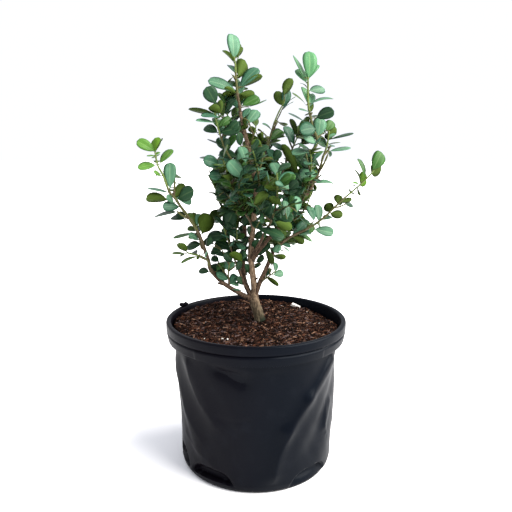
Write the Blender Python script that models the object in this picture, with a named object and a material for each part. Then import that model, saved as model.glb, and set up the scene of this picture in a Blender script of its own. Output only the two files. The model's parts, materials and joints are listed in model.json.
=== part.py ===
"""A young boxwood shrub in its black nursery pot.

The pot is a thin shell with a deep rim, full of bark mulch. A short trunk stands on the mulch
and forks into a leader and several boughs, and every bough ends in small leafy shoots.
Lengths are in metres, +Z is up, the origin is the middle of the pot's flat underside,
and the front of the plant faces -Y. Angles round the pot count from the front towards +X.
"""

import math
import random
from collections import namedtuple

import bmesh
import bpy
import numpy as np
from mathutils import Matrix, Vector
from mathutils.bvhtree import BVHTree

MM = 0.001
UP = Vector((0, 0, 1))
GAP = 0.3 * MM
MERGE = 0.0001 * MM
SMOOTH_POT = 35
SMOOTH_BARK = 60

# Pot
POT_HEIGHT = 136.2 * MM
POT_SIDES = 32
RIM_RADIUS = 82.6 * MM
RIM_WALL = 4.6 * MM
RIM_EDGE = 0.8 * MM
RIM_INSIDE_DROP = 0.2 * MM
LIP_INSIDE_STEP = 1.2 * MM
BAND_INSIDE_STEP = 2.0 * MM
LIP_HEIGHT = 7.8 * MM
GROOVE_HEIGHT = 0.9 * MM
GROOVE_DEPTH = 0.8 * MM
BAND_HEIGHT = 8.6 * MM
BAND_FOOT_RADIUS = 81.0 * MM
BODY_TOP_RADIUS = 74.8 * MM
BODY_FOOT_RADIUS = 71.0 * MM
FOOT_RING_RADIUS = 69.6 * MM
SOLE_RADIUS = 67.3 * MM
WALL = 2.2 * MM
FLOOR = 3.0 * MM
HEEL_INSIDE_RADIUS = 64.0 * MM
HEEL_HEIGHT = 17 * MM
HEEL_RAMP = 8 * MM
WALL_HEIGHTS = np.array((3, 6, 9, 13, 18, 32, 48, 64, 80, 96, 110)) * MM
INNER_HEIGHTS = np.array((18, 32, 64, 96, 110)) * MM
PANEL_RISE = 0.5 * MM
PANEL_ENDS = (-38, 43)

# The dents of the soft wall: from (degrees, mm up) to (degrees, mm up), rise in mm, half width in mm
FOLDS = (
    (66, 116, 38, 76, 2.6, 8),
    (38, 76, 15, 8, 2.6, 8),
    (84, 100, 46, 26, -2.2, 11),
    (76, 58, 60, 44, 1.8, 6),
    (12, 104, -2, 30, -1.6, 16),
    (-24, 113, -9, 104, -3.0, 9),
    (-70, 104, -44, 36, 1.8, 8),
    (-52, 112, -28, 62, 1.4, 7),
    (-88, 82, -80, 34, -1.6, 12),
    (104, 110, 132, 22, 2.2, 9),
    (150, 106, 120, 40, -2.0, 12),
    (176, 100, 196, 18, 2.0, 9),
    (232, 108, 216, 30, -2.2, 12),
    (250, 98, 262, 30, 1.6, 9),
)

# The dents fade out between these heights: in from the first to the second, out from the third to the fourth
FOLD_FADE = (4 * MM, 20 * MM, 106 * MM, 118 * MM)

# The pockets above the foot ring: middle and half width in degrees
POCKETS = ((-78, 15), (-36, 17), (44, 18), (102, 15), (150, 16), (208, 16))
POCKET_DEPTH = 4.0 * MM
POCKET_FOOT = 4.5 * MM
POCKET_TOP = 14.5 * MM
POCKET_FOOT_RAMP = 2 * MM
POCKET_TOP_RAMP = 4 * MM
POCKET_SIDE_RAMP = (-5, 3)

# The small torn tab on the rim
TAB_ANGLE = -117
TAB_SIZE = (9 * MM, 5 * MM, 4.6 * MM)
TAB_WAIST = 0.35
TAB_WAIST_WIDTH = 0.16
TAB_FLAT_FOOT = 0.3

# Mulch: (radius, height of its surface) in mm, and how far it is higher at the left edge than in the middle
MULCH_PROFILE = ((16, 130.2), (42, 130.0), (62, 129.6), (75, 129.0))
MULCH_TILT = 1.6 * MM

# Leaves and shoots
LEAF_LENGTH = 21.0 * MM
LEAF_WIDTH_SHARE = 0.56
LEAF_BROADEST = (0.54, 0.5)
LEAF_TIP_CORNER = (0.95, 0.3)
LEAF_RIDGE_AT = 0.55
LEAF_RIDGE_SHARE = 0.05
LEAF_ROOT = 0.2 * MM
LEAF_SIZES = (0.86, 1.08)
LEAF_FOOT_SIZE = 1.02
LEAF_TAPER = 0.08
PAIR_SPACING = 10.5 * MM
PAIR_SPLAY = (48, 66)
TIP_PAIR_SPLAY = (36, 48)
TIP_LEAF_SPLAY = (2, 10)
LEAF_TWIST = 28
CLEARANCE = 0.4 * MM
REACH = 44 * MM

# A leaf that would touch something is tried again: (share of its size, turn in radians) for each try
LEAF_TRIES = ((1, 0), (0.92, -0.22), (0.86, 0.25), (0.75, 0))

# Twigs are three-sided. They spread round their stem by the golden angle, over this part of its length
TWIG_RADIUS = 0.9 * MM
TWIG_TIP_RADIUS = 0.6 * MM
STEM_THICKENING = 0.005
TWIG_ZONE = (0.12, 0.74)
GOLDEN_ANGLE = 137.5
TWIG_TRIES = 6
TWIG_TRY_TURN = 75
TWIG_SHORTENING = 0.35
TWIG_LENGTHS = (0.8, 1.1)
TWIG_CLEARANCE = 1.2 * MM
SHOOT_STEP = 10 * MM
LIMB_STEP = 7 * MM
LIMB_SIDES = 8

# A twig sets out partly along its stem and partly away from it, then bends up and wanders a little
TWIG_ONWARD = 0.75
TWIG_OUTWARD = 0.9
TWIG_RISE = 0.2
TWIG_WANDER = 0.1

# Leaves spread level rather than up and down, and face up and out to the light: outwards from this depth
# of the crown, and fully so this far from it
LEVELLING = 0.35
FACE_UP = 0.5
FACE_OUT = 0.9
CROWN_MIDDLE = 6 * MM
CROWN_DEPTH = 25 * MM
PATH_SAMPLES = 60

# A limb grows from its parent's axis, at a share of that limb's length, and rises so many mm. Its leans,
# in degrees from upright, are spread evenly over the rise: to the right, and away from the front.
# Then come its radii in mm at the foot and the tip, and the limbs it is cut clear of.
Limb = namedtuple("Limb", "parent along rise sideways backwards foot tip clear_of")
TRUNK_FOOT = (3.4 * MM, 6.4 * MM, 130.5 * MM)
TRUNK_FLARE = 1.4 * MM
FLARE_DECAY = 6

LIMBS = {
    "trunk": Limb(None, 0, 23.5, (-6, -20, -11), (-2, -3), 5.0, 4.8, ()),
    "leader": Limb(
        "trunk", 0.8, 171, (1, -9, 6, 6, -7, -15, -11), (-2, -5, -7, -1, 2, 3, -1), 3.1, 1.6, ("trunk",)
    ),
    "back_stem": Limb("trunk", 0.85, 72, (-38, 8, -5), (21, 8, 9), 2.0, 1.5, ("trunk", "leader")),
    "left_bough": Limb(
        "trunk", 0.85, 32, (-62, -51, -33), (-28, -30, 2), 2.4, 1.7, ("trunk", "leader", "back_stem")
    ),
    "inner_bough": Limb(
        "trunk", 0.98, 35, (-42, -17, -22), (-10, -11, -2), 1.3, 1.1,
        ("trunk", "leader", "back_stem", "left_bough"),
    ),
    "right_bough": Limb(
        "trunk", 0.85, 46, (12, 24, 21), (-4, -9, -6), 2.5, 1.7,
        ("trunk", "leader", "back_stem", "left_bough"),
    ),
    "upper_right_bough": Limb("leader", 0.22, 69, (30, 43, 33), (-20, -12, 5), 1.9, 1.4, ("leader",)),
    "middle_right_bough": Limb("leader", 0.53, 26, (39, 43), (29, 2), 1.4, 1.1, ("leader",)),
    "front_bough": Limb("leader", 0.24, 32, (26, 20), (-42, -57), 1.7, 1.3, ("leader", "upper_right_bough")),
    "rear_bough": Limb("leader", 0.33, 29, (16, -17), (54, 54), 1.7, 1.3, ("leader", "back_stem")),
}

# A mass of foliage: the limb it grows on and the share of its length, 1 being its tip, then the rise and
# the leans of its stem as for a limb, the number of side twigs, the longest one's length in mm,
# the share of a full leaf's length, the bare start in mm and the seed.
Mass = namedtuple("Mass", "limb along rise sideways backwards twigs twig_length leaf bare seed")

MASSES = {
    "left_arm": Mass("left_bough", 1, 97, (-10, -22, -35, -32, -20), (-6, -5, -3), 3, 22, 1, 5, 37),
    "left_sprig": Mass("left_bough", 0.85, 19, (-35, -61), (-30, -26), 1, 14, 0.6, 9, 2),
    "left_low": Mass("left_bough", 0.53, 32, (-9, 20), (-20, -7), 3, 18, 0.9, 5, 3),
    "low_left": Mass("leader", 0.24, 28, (-50, 6), (-39, 0), 2, 16, 0.95, 5, 25),
    "inner_left": Mass("inner_bough", 1, 41, (-18, -18), (-3, -5), 2, 20, 1, 4, 4),
    "middle_left": Mass("leader", 0.42, 59, (-32, -22, -17), (-36, -17, -3), 3, 26, 1, 8, 5),
    "rear_left": Mass("back_stem", 1, 46, (-23, -52, -2), (9, -15, 6), 3, 26, 1, 4, 6),
    "upper_left": Mass("leader", 0.65, 61, (-57, -21, -8), (-25, -10, 4), 3, 20, 0.95, 9, 7),
    "crown_top": Mass("leader", 1, 49, (-7, -9), (0, 0), 2, 15, 1, 2, 34),
    "crown_left": Mass("leader", 0.88, 24, (-57, -13), (34, 2), 2, 16, 0.95, 6, 9),
    "crown_right": Mass("leader", 0.82, 35, (27, -1), (-34, 4), 2, 18, 0.95, 6, 10),
    "centre_top": Mass("leader", 0.7, 60, (40, 12, 32), (28, -1, 1), 2, 18, 0.9, 9, 32),
    "centre_right": Mass("middle_right_bough", 1, 36, (25, 22), (-6, -4), 3, 22, 0.95, 3, 12),
    "right_leader": Mass("upper_right_bough", 1, 98, (31, 16, -12, -37, 0, 14), (0, 3), 3, 20, 0.98, 6, 31),
    "right_spray": Mass("upper_right_bough", 0.92, 50, (33, 30, 37), (29, 11, 7), 2, 20, 0.95, 9, 14),
    "right_front": Mass("upper_right_bough", 0.73, 53, (36, 6, -8), (-40, -26, -6), 3, 22, 1, 8, 15),
    "right_side": Mass("upper_right_bough", 0.48, 36, (64, 31, 1), (-62, -17, -12), 2, 20, 0.95, 7, 16),
    "right_arm": Mass("right_bough", 1, 75, (32, 66, 42, 50, 39), (-5, -6, -3), 2, 20, 0.92, 7, 34),
    "right_low": Mass("right_bough", 0.4, 20, (62, 20), (-45, 1), 2, 14, 0.8, 4, 18),
    "front_low": Mass("front_bough", 1, 50, (24, -9), (-54, -10), 3, 24, 1, 4, 19),
    "front_middle": Mass("leader", 0.48, 57, (20, -4, -18), (-49, -33, -19), 3, 24, 1, 8, 20),
    "rear_low": Mass("rear_bough", 1, 50, (-11, 20), (51, 8), 3, 24, 1, 4, 21),
    "rear_middle": Mass("leader", 0.57, 53, (22, 6, -21), (58, 35, 13), 3, 24, 1, 8, 22),
    "rear_right": Mass("right_bough", 0.67, 81, (28, 30, 8), (45, 30, 4), 3, 24, 1, 12, 23),
    "rear_corner": Mass("back_stem", 0.82, 51, (-44, -30, -3), (55, 27, 14), 3, 24, 1, 8, 24),
}


def clear_scene():
    """Remove whatever the scene holds."""
    for obj in list(bpy.data.objects):
        bpy.data.objects.remove(obj)


def plain_material(name, colour, roughness):
    """A Principled material of one colour."""
    material = bpy.data.materials.new(name)
    material.use_nodes = True
    shader = material.node_tree.nodes["Principled BSDF"]
    shader.inputs["Base Color"].default_value = (*colour, 1)
    shader.inputs["Roughness"].default_value = roughness
    shader.inputs["Metallic"].default_value = 0
    return material


def add_solid(name, points, faces, material=None, smooth_angle=None):
    """Add a mesh object from its points and faces, with its faces turned outwards."""
    mesh = bpy.data.meshes.new(name)
    mesh.from_pydata([tuple(point) for point in points], [], faces)
    turn_outwards(mesh)
    obj = bpy.data.objects.new(name, mesh)
    bpy.context.scene.collection.objects.link(obj)
    if material:
        mesh.materials.append(material)
    if smooth_angle:
        mesh.shade_smooth()
        mesh.set_sharp_from_angle(angle=math.radians(smooth_angle))
    return obj


def turn_outwards(mesh):
    """Recalculate a closed mesh's normals so that they point out."""
    shape = bmesh.new()
    shape.from_mesh(mesh)
    bmesh.ops.recalc_face_normals(shape, faces=shape.faces)
    shape.to_mesh(mesh)
    shape.free()


def stack_rings(rings):
    """Points and faces of a closed solid through rings of equal length, with flat ends."""
    count = len(rings[0])
    points = [tuple(point) for ring in rings for point in ring]
    faces = [tuple(range(count)), tuple(range(len(points) - count, len(points)))]
    for level in range(len(rings) - 1):
        low = level * count
        for i in range(count):
            j = (i + 1) % count
            faces.append((low + i, low + j, low + count + j, low + count + i))
    return points, faces


# Pot and mulch


def smooth_step(value, low, high):
    """0 below low, 1 above high, and a smooth ramp between."""
    share = np.clip((value - low) / (high - low), 0, 1)
    return share * share * (3 - 2 * share)


def fold_offset(angles, height):
    """How far the folds push the soft wall out at these angles, in degrees, and at this height."""
    offset = np.zeros_like(angles)
    for angle_a, height_a, angle_b, height_b, rise, width in FOLDS:
        turned = (angles - (angle_a + angle_b) / 2 + 180) % 360 - 180 + (angle_a + angle_b) / 2
        along = np.radians(angles * 0 + angle_b - angle_a) * BODY_TOP_RADIUS
        climb = (height_b - height_a) * MM
        from_start = np.radians(turned - angle_a) * BODY_TOP_RADIUS
        lift = height - height_a * MM
        share = np.clip((from_start * along + lift * climb) / (along**2 + climb**2), 0, 1)
        distance = np.hypot(from_start - share * along, lift - share * climb)
        offset += rise * MM * np.exp(-((distance / (width * MM)) ** 2))
    fade = smooth_step(height, *FOLD_FADE[:2]) * (1 - smooth_step(height, *FOLD_FADE[2:]))
    return offset * fade


def pocket_offset(angles, height):
    """How far the wall goes in at the pockets above the foot ring."""
    window = smooth_step(height, POCKET_FOOT, POCKET_FOOT + POCKET_FOOT_RAMP)
    window *= 1 - smooth_step(height, POCKET_TOP - POCKET_TOP_RAMP, POCKET_TOP)
    inside, outside = POCKET_SIDE_RAMP
    offset = np.zeros_like(angles)
    for middle, half_width in POCKETS:
        away = np.abs((angles - middle + 180) % 360 - 180)
        offset -= POCKET_DEPTH * (1 - smooth_step(away, half_width + inside, half_width + outside))
    return offset * window


def body_radius(height):
    """The undented wall's radius, tapering from under the rim down to the foot."""
    return np.interp(
        height,
        (0, 3 * MM, 7 * MM, 20 * MM, 112 * MM),
        (SOLE_RADIUS, FOOT_RING_RADIUS, BODY_FOOT_RADIUS - 0.4 * MM, BODY_FOOT_RADIUS, BODY_TOP_RADIUS),
    )


def pot_ring(angles, radius, height):
    """A ring round the pot's axis. The radius is one number, or one for each angle."""
    turn = np.radians(angles)
    radius = radius + 0 * turn
    return np.stack([radius * np.sin(turn), -radius * np.cos(turn), height + 0 * turn], axis=1)


def inner_wall(angles, height):
    """The inside radius of the pot below its rim, which narrows at the heel behind the pockets."""
    wall = body_radius(height) + fold_offset(angles, height) - WALL
    share = smooth_step(height, HEEL_HEIGHT, HEEL_HEIGHT + HEEL_RAMP)
    return HEEL_INSIDE_RADIUS * (1 - share) + wall * share


def make_pot(material):
    """The pot: sole, dented wall, band with a plain panel, groove, lip, and its inside down to the floor."""
    angles = np.arange(POT_SIDES) * 360 / POT_SIDES
    lip_foot = POT_HEIGHT - LIP_HEIGHT
    band_top = lip_foot - GROOVE_HEIGHT
    band_foot = band_top - BAND_HEIGHT
    signed = (angles + 180) % 360 - 180
    on_panel = (signed >= PANEL_ENDS[0]) & (signed <= PANEL_ENDS[1])
    panel = np.where(on_panel, PANEL_RISE, 0)
    rings = [pot_ring(angles, SOLE_RADIUS, 0)]
    for height in WALL_HEIGHTS:
        offset = fold_offset(angles, height) + pocket_offset(angles, height)
        rings.append(pot_ring(angles, body_radius(height) + offset, height))
    rings.append(pot_ring(angles, BODY_TOP_RADIUS, band_foot))
    rings.append(pot_ring(angles, BAND_FOOT_RADIUS + panel, band_foot))
    rings.append(pot_ring(angles, RIM_RADIUS + panel * 0.5, band_top))
    rings.append(pot_ring(angles, RIM_RADIUS - GROOVE_DEPTH, lip_foot - GROOVE_HEIGHT / 2))
    rings.append(pot_ring(angles, RIM_RADIUS, lip_foot))
    rings.append(pot_ring(angles, RIM_RADIUS, POT_HEIGHT - RIM_EDGE))
    rings.append(pot_ring(angles, RIM_RADIUS - RIM_EDGE, POT_HEIGHT))
    rings.append(pot_ring(angles, RIM_RADIUS - RIM_WALL, POT_HEIGHT - RIM_INSIDE_DROP))
    rings.append(pot_ring(angles, RIM_RADIUS - RIM_WALL - LIP_INSIDE_STEP, lip_foot))
    rings.append(pot_ring(angles, RIM_RADIUS - RIM_WALL - BAND_INSIDE_STEP, band_foot))
    for height in INNER_HEIGHTS[::-1]:
        rings.append(pot_ring(angles, inner_wall(angles, height), height))
    rings.append(pot_ring(angles, HEEL_INSIDE_RADIUS, FLOOR))
    points, faces = stack_rings(rings)
    return add_solid("pot", points, faces, material, SMOOTH_POT)


def make_mulch(material):
    """The mulch: a plug that fills the pot, 0.3 mm clear of it, with a gently domed top.

    Its rings are stacked downwards like those inside the pot, so that both split their faces the same way.
    """
    angles = np.arange(POT_SIDES) * 360 / POT_SIDES
    band_foot = POT_HEIGHT - LIP_HEIGHT - GROOVE_HEIGHT - BAND_HEIGHT
    rings = [pot_ring(angles, HEEL_INSIDE_RADIUS - GAP, FLOOR + GAP)]
    for height in INNER_HEIGHTS:
        rings.append(pot_ring(angles, inner_wall(angles, height) - GAP, height))
    rings.append(pot_ring(angles, RIM_RADIUS - RIM_WALL - BAND_INSIDE_STEP - GAP, band_foot))
    for radius, height in MULCH_PROFILE[::-1]:
        ring = pot_ring(angles, radius * MM, height * MM)
        if radius > MULCH_PROFILE[0][0]:
            ring[:, 2] -= MULCH_TILT * ring[:, 0] / (MULCH_PROFILE[-1][0] * MM)
        rings.append(ring)
    points, faces = stack_rings(rings[::-1])
    return add_solid("mulch", points, faces, material, SMOOTH_POT)


def make_tab(material):
    """The torn tab: a small lump of two lobes that sits on the lip."""
    shape = bmesh.new()
    length, depth, height = TAB_SIZE
    bmesh.ops.create_icosphere(shape, subdivisions=2, radius=0.5)
    for vert in shape.verts:
        waist = 1 - TAB_WAIST * math.exp(-((vert.co.x / TAB_WAIST_WIDTH) ** 2))
        lift = max(vert.co.z, -TAB_FLAT_FOOT) * height * waist
        vert.co = Vector((vert.co.x * length, vert.co.y * depth, lift))
    turn = math.radians(TAB_ANGLE)
    radius = RIM_RADIUS - RIM_WALL / 2
    rest = POT_HEIGHT + GAP + TAB_FLAT_FOOT * height
    seat = Vector((radius * math.sin(turn), -radius * math.cos(turn), rest))
    place = Matrix.Translation(seat) @ Matrix.Rotation(turn, 4, "Z")
    bmesh.ops.transform(shape, verts=shape.verts, matrix=place)
    points = [vert.co.copy() for vert in shape.verts]
    faces = [tuple(vert.index for vert in face.verts) for face in shape.faces]
    shape.free()
    return add_solid("rim_tab", points, faces, material, SMOOTH_POT)


# Paths and tubes


def leaning_path(start, rise, sideways, backwards, step):
    """A path that rises so many mm from its start, at leans interpolated over the rise, in even steps."""
    heights = np.linspace(0, rise * MM, PATH_SAMPLES)
    columns = []
    for origin, leans in ((start[0], sideways), (start[1], backwards)):
        slopes = np.tan(np.radians(np.interp(heights, np.linspace(0, rise * MM, len(leans)), leans)))
        drift = np.cumsum((slopes[1:] + slopes[:-1]) / 2) * heights[1]
        columns.append(origin + np.concatenate([[0], drift]))
    dense = np.stack([*columns, start[2] + heights], axis=1)
    travelled = np.concatenate([[0], np.cumsum(np.linalg.norm(np.diff(dense, axis=0), axis=1))])
    count = max(3, round(travelled[-1] / step) + 1)
    even = np.linspace(0, travelled[-1], count)
    return [Vector(point) for point in zip(*(np.interp(even, travelled, column) for column in dense.T))]


def tangents(path):
    """The unit direction of a path at each of its points."""
    last = len(path) - 1
    return [(path[min(i + 1, last)] - path[max(i - 1, 0)]).normalized() for i in range(last + 1)]


def walk(path, distance):
    """The point and the direction at a distance along a path."""
    for a, b in zip(path, path[1:]):
        stretch = (b - a).length
        if distance <= stretch:
            return a + (b - a) * (distance / stretch), (b - a).normalized()
        distance -= stretch
    return path[-1].copy(), (path[-1] - path[-2]).normalized()


def path_length(path):
    """How long a path is."""
    return sum((b - a).length for a, b in zip(path, path[1:]))


def tube(path, foot_radius, tip_radius, sides, flare=0, swell=0):
    """Points and faces of a tapering tube with flat ends. The flare widens only its foot."""
    side = UP.orthogonal()
    rings = []
    for i, (point, tangent) in enumerate(zip(path, tangents(path))):
        share = i / (len(path) - 1)
        side = (side - tangent * side.dot(tangent)).normalized()
        other = tangent.cross(side)
        radius = foot_radius + (tip_radius - foot_radius) * share + swell
        radius += flare * math.exp(-FLARE_DECAY * share)
        turns = [2 * math.pi * k / sides for k in range(sides)]
        rings.append([point + radius * (side * math.cos(turn) + other * math.sin(turn)) for turn in turns])
    return stack_rings(rings)


def limb_path(name):
    """A limb's middle line, from its parent's."""
    limb = LIMBS[name]
    start = TRUNK_FOOT
    if limb.parent:
        parent = limb_path(limb.parent)
        start = walk(parent, limb.along * path_length(parent))[0]
    return leaning_path(start, limb.rise, limb.sideways, limb.backwards, LIMB_STEP)


def limb_tube(name, swell=0.0):
    """A limb's tube. The trunk has a flare and is cut level at the mulch."""
    limb = LIMBS[name]
    path = limb_path(name)
    if swell:
        ends = tangents(path)
        path = [path[0] - ends[0] * swell] + path[1:-1] + [path[-1] + ends[-1] * swell]
    flare = TRUNK_FLARE if name == "trunk" else 0
    points, faces = tube(path, limb.foot * MM, limb.tip * MM, LIMB_SIDES, flare, swell)
    if name == "trunk":
        level = TRUNK_FOOT[2] - swell
        points = [(p[0], p[1], level) if i < LIMB_SIDES else p for i, p in enumerate(points)]
    return points, faces


def keep_largest_body(mesh):
    """Drop loose scraps and the walls of sealed hollows: all but the largest set of joined faces."""
    shape = bmesh.new()
    shape.from_mesh(mesh)
    bmesh.ops.remove_doubles(shape, verts=shape.verts, dist=MERGE)
    bmesh.ops.dissolve_degenerate(shape, edges=shape.edges, dist=MERGE)
    waiting = set(shape.faces)
    bodies = []
    while waiting:
        body = [waiting.pop()]
        for face in body:
            neighbours = {other for edge in face.edges for other in edge.link_faces} & waiting
            waiting -= neighbours
            body.extend(neighbours)
        bodies.append(body)
    bodies.sort(key=len)
    bmesh.ops.delete(shape, geom=[face for body in bodies[:-1] for face in body], context="FACES")
    shape.to_mesh(mesh)
    shape.free()


def apply_modifiers(obj):
    """Swap an object's mesh for what its modifiers make of it."""
    graph = bpy.context.evaluated_depsgraph_get()
    made = bpy.data.meshes.new_from_object(obj.evaluated_get(graph))
    obj.modifiers.clear()
    old = obj.data
    obj.data = made
    bpy.data.meshes.remove(old)
    keep_largest_body(obj.data)


def make_limbs(material):
    """Each limb is a tube whose foot is cut 0.3 mm clear of the limbs it springs from."""
    limbs = {}
    for name, limb in LIMBS.items():
        obj = add_solid(name, *limb_tube(name), material, SMOOTH_BARK)
        for neighbour in limb.clear_of:
            cutter = add_solid("cutter", *limb_tube(neighbour, GAP))
            cut = obj.modifiers.new("clear", "BOOLEAN")
            cut.operation = "DIFFERENCE"
            cut.object = cutter
            apply_modifiers(obj)
            bpy.data.objects.remove(cutter)
        limbs[name] = obj
    return limbs


# Leaves and the growth of the crown


def leaf_solid(root, along, face, length, width):
    """A leaf of eight faces: a flat five-cornered blade, broad towards its tip, with a ridge on top."""
    across = along.cross(face)
    corners = [(x * length, y * width) for x, y in (LEAF_BROADEST, LEAF_TIP_CORNER)]
    points = [root - along * LEAF_ROOT]
    points += [root + along * x + across * y for x, y in corners]
    points += [root + along * x - across * y for x, y in corners[::-1]]
    points.append(root + along * LEAF_RIDGE_AT * length + face * length * LEAF_RIDGE_SHARE)
    faces = [(0, 1, 4), (1, 2, 3), (1, 3, 4)]
    faces += [(i, (i + 1) % 5, 5) for i in range(5)]
    return points, faces


def leaf_probe(root, along, face, length, width):
    """The space a leaf needs: its blade without the root, a little larger all round."""
    across = along.cross(face) * (width / 2 + CLEARANCE)
    near = root + along * 2.2 * MM
    middle = root + along * 0.52 * length
    tip = root + along * (length + CLEARANCE)
    top = face * (LEAF_RIDGE_SHARE * length + CLEARANCE)
    under = -face * CLEARANCE
    points = []
    for lift in (under, top):
        points += [near + across * 0.3 + lift, middle + across + lift, tip + across * 0.5 + lift]
        points += [tip - across * 0.5 + lift, middle - across + lift, near - across * 0.3 + lift]
    faces = [tuple(range(6)), tuple(range(6, 12))]
    faces += [(i, (i + 1) % 6, 6 + (i + 1) % 6, 6 + i) for i in range(6)]
    return points, faces


class Crowd:
    """All that has grown so far: each solid's owner, its box and a tree for finding what it touches."""

    def __init__(self):
        self.owners = []
        self.lows = np.zeros((0, 3))
        self.highs = np.zeros((0, 3))
        self.trees = []

    def add(self, owner, points, faces):
        corners = np.array([tuple(point) for point in points])
        self.owners.append(owner)
        self.lows = np.vstack([self.lows, corners.min(axis=0)])
        self.highs = np.vstack([self.highs, corners.max(axis=0)])
        self.trees.append(BVHTree.FromPolygons([tuple(point) for point in corners], faces))

    def touches(self, points, faces, skip=()):
        corners = np.array([tuple(point) for point in points])
        above = (self.highs >= corners.min(axis=0)).all(axis=1)
        near = above & (self.lows <= corners.max(axis=0)).all(axis=1)
        tree = None
        for i in np.nonzero(near)[0]:
            if self.owners[i] in skip:
                continue
            tree = tree or BVHTree.FromPolygons([tuple(point) for point in corners], faces)
            if tree.overlap(self.trees[i]):
                return True
        return False


def wood_of(name):
    """The owner's name of a mass's stem and twigs, which its own leaves may touch."""
    return name + " wood"


def bark_gap(point, bark, limb):
    """How far a point lies outside a limb's bark."""
    gaps = []
    for i, (a, b) in enumerate(zip(bark, bark[1:])):
        share = max(0, min(1, (point - a).dot(b - a) / (b - a).length_squared))
        radius = limb.foot + (limb.tip - limb.foot) * (i + share) / (len(bark) - 1)
        gaps.append((point - a.lerp(b, share)).length - radius * MM)
    return min(gaps)


def stem_path(name):
    """A mass's stem: on from its limb's tip, or from the limb's side, 0.3 mm clear of its bark."""
    mass = MASSES[name]
    bark = limb_path(mass.limb)
    root, heading = walk(bark, mass.along * path_length(bark))
    path = leaning_path(root, mass.rise, mass.sideways, mass.backwards, SHOOT_STEP)
    onward = (path[1] - path[0]).normalized()
    if mass.along == 1:
        foot = root + heading * (GAP + stem_radius(path) * onward.cross(heading).length)
        return [foot] + path[1:]
    start = GAP
    while True:
        foot = root + onward * start
        ring = tube([foot, foot + onward * MM], stem_radius(path), stem_radius(path), 3)[0][:3]
        corners = [Vector(point) for point in ring]
        edges = [(corners[i] + corners[i - 1]) / 2 for i in range(3)]
        if min(bark_gap(point, bark, LIMBS[mass.limb]) for point in corners + edges) >= GAP:
            return [foot] + [point for point in path if (point - root).length > start + SHOOT_STEP / 2]
        start += GAP / 3


def stem_radius(path):
    """A longer stem is thicker at its foot."""
    return TWIG_RADIUS + STEM_THICKENING * path_length(path)


def stem_tube(path):
    """The solid of a stem."""
    return tube(path, stem_radius(path), TWIG_TIP_RADIUS, 3)


def twig_tube(path):
    """The solid of a side twig."""
    return tube(path, TWIG_RADIUS, TWIG_TIP_RADIUS, 3)


def bearing(tangent, turn):
    """A direction square to a shoot, turned round it by an angle from its upper side."""
    level = tangent.cross(UP)
    level = level.normalized() if level.length > 0.05 else Vector((1, 0, 0))
    other = level.cross(tangent)
    return other * math.cos(turn) + level * math.sin(turn)


def twig_path(root, tangent, turn, length, dice):
    """A side twig: it leaves its stem at an angle and bends slowly towards the light."""
    heading = (tangent * TWIG_ONWARD + bearing(tangent, turn) * TWIG_OUTWARD).normalized()
    path = [root]
    count = max(2, round(length / SHOOT_STEP))
    for _ in range(count):
        jitter = Vector([dice.uniform(-1, 1) for _ in range(3)])
        heading = (heading + UP * TWIG_RISE + jitter * TWIG_WANDER).normalized()
        path.append(path[-1] + heading * (length / count))
    return path


def grow_twigs(name, stem, crowd, dice):
    """The side twigs of a mass, spread along its stem. One that would touch a neighbour is skipped."""
    mass = MASSES[name]
    twigs = []
    for k in range(mass.twigs):
        share = np.interp((k + 0.5) / mass.twigs, (0, 1), TWIG_ZONE)
        root, tangent = walk(stem, share * path_length(stem))
        first_turn = math.radians(90 + GOLDEN_ANGLE * k + dice.uniform(-30, 30))
        length = mass.twig_length * MM * (1 - TWIG_SHORTENING * share) * dice.uniform(*TWIG_LENGTHS)
        for attempt in range(TWIG_TRIES):
            turn = first_turn + attempt * math.radians(TWIG_TRY_TURN)
            path = twig_path(root, tangent, turn, length, dice)
            probe = tube(path, TWIG_RADIUS + TWIG_CLEARANCE, TWIG_RADIUS + TWIG_CLEARANCE, 3)
            if not crowd.touches(*probe, skip=(wood_of(name),)):
                twigs.append(path)
                crowd.add(wood_of(name), *twig_tube(path))
                break
    return twigs


def leaf_places(shoot, bare, dice):
    """Where a shoot's leaves stand: crossed pairs along it, then a pair and one upright leaf at its tip."""
    length = path_length(shoot)
    distance = bare
    turn = dice.uniform(0, math.pi)
    places = []
    while distance < length - 0.35 * PAIR_SPACING:
        places.append((distance, turn, math.radians(dice.uniform(*PAIR_SPLAY)), (0, math.pi)))
        distance += PAIR_SPACING * dice.uniform(0.85, 1.1)
        turn += math.pi / 2 + math.radians(dice.uniform(-12, 12))
    places.append((length - 2 * MM, turn, math.radians(dice.uniform(*TIP_PAIR_SPLAY)), (0, math.pi)))
    places.append((length - 0.5 * MM, turn + math.pi / 2, math.radians(dice.uniform(*TIP_LEAF_SPLAY)), (0,)))
    return places


def leaf_frame(root, tangent, turn, splay):
    """The direction of a leaf and of its upper face, which turns up and outwards to the light."""
    side = bearing(tangent, turn)
    level = side - UP * side.dot(UP) * LEVELLING
    side = (level - tangent * level.dot(tangent)).normalized()
    along = (tangent * math.cos(splay) + side * math.sin(splay)).normalized()
    outwards = max(-1, min(1, (root.y - CROWN_MIDDLE) / CROWN_DEPTH))
    face = tangent * math.sin(splay) - side * math.cos(splay) + UP * FACE_UP
    face += Vector((0, outwards * FACE_OUT, 0))
    face = (face - along * face.dot(along)).normalized()
    return along, face


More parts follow.
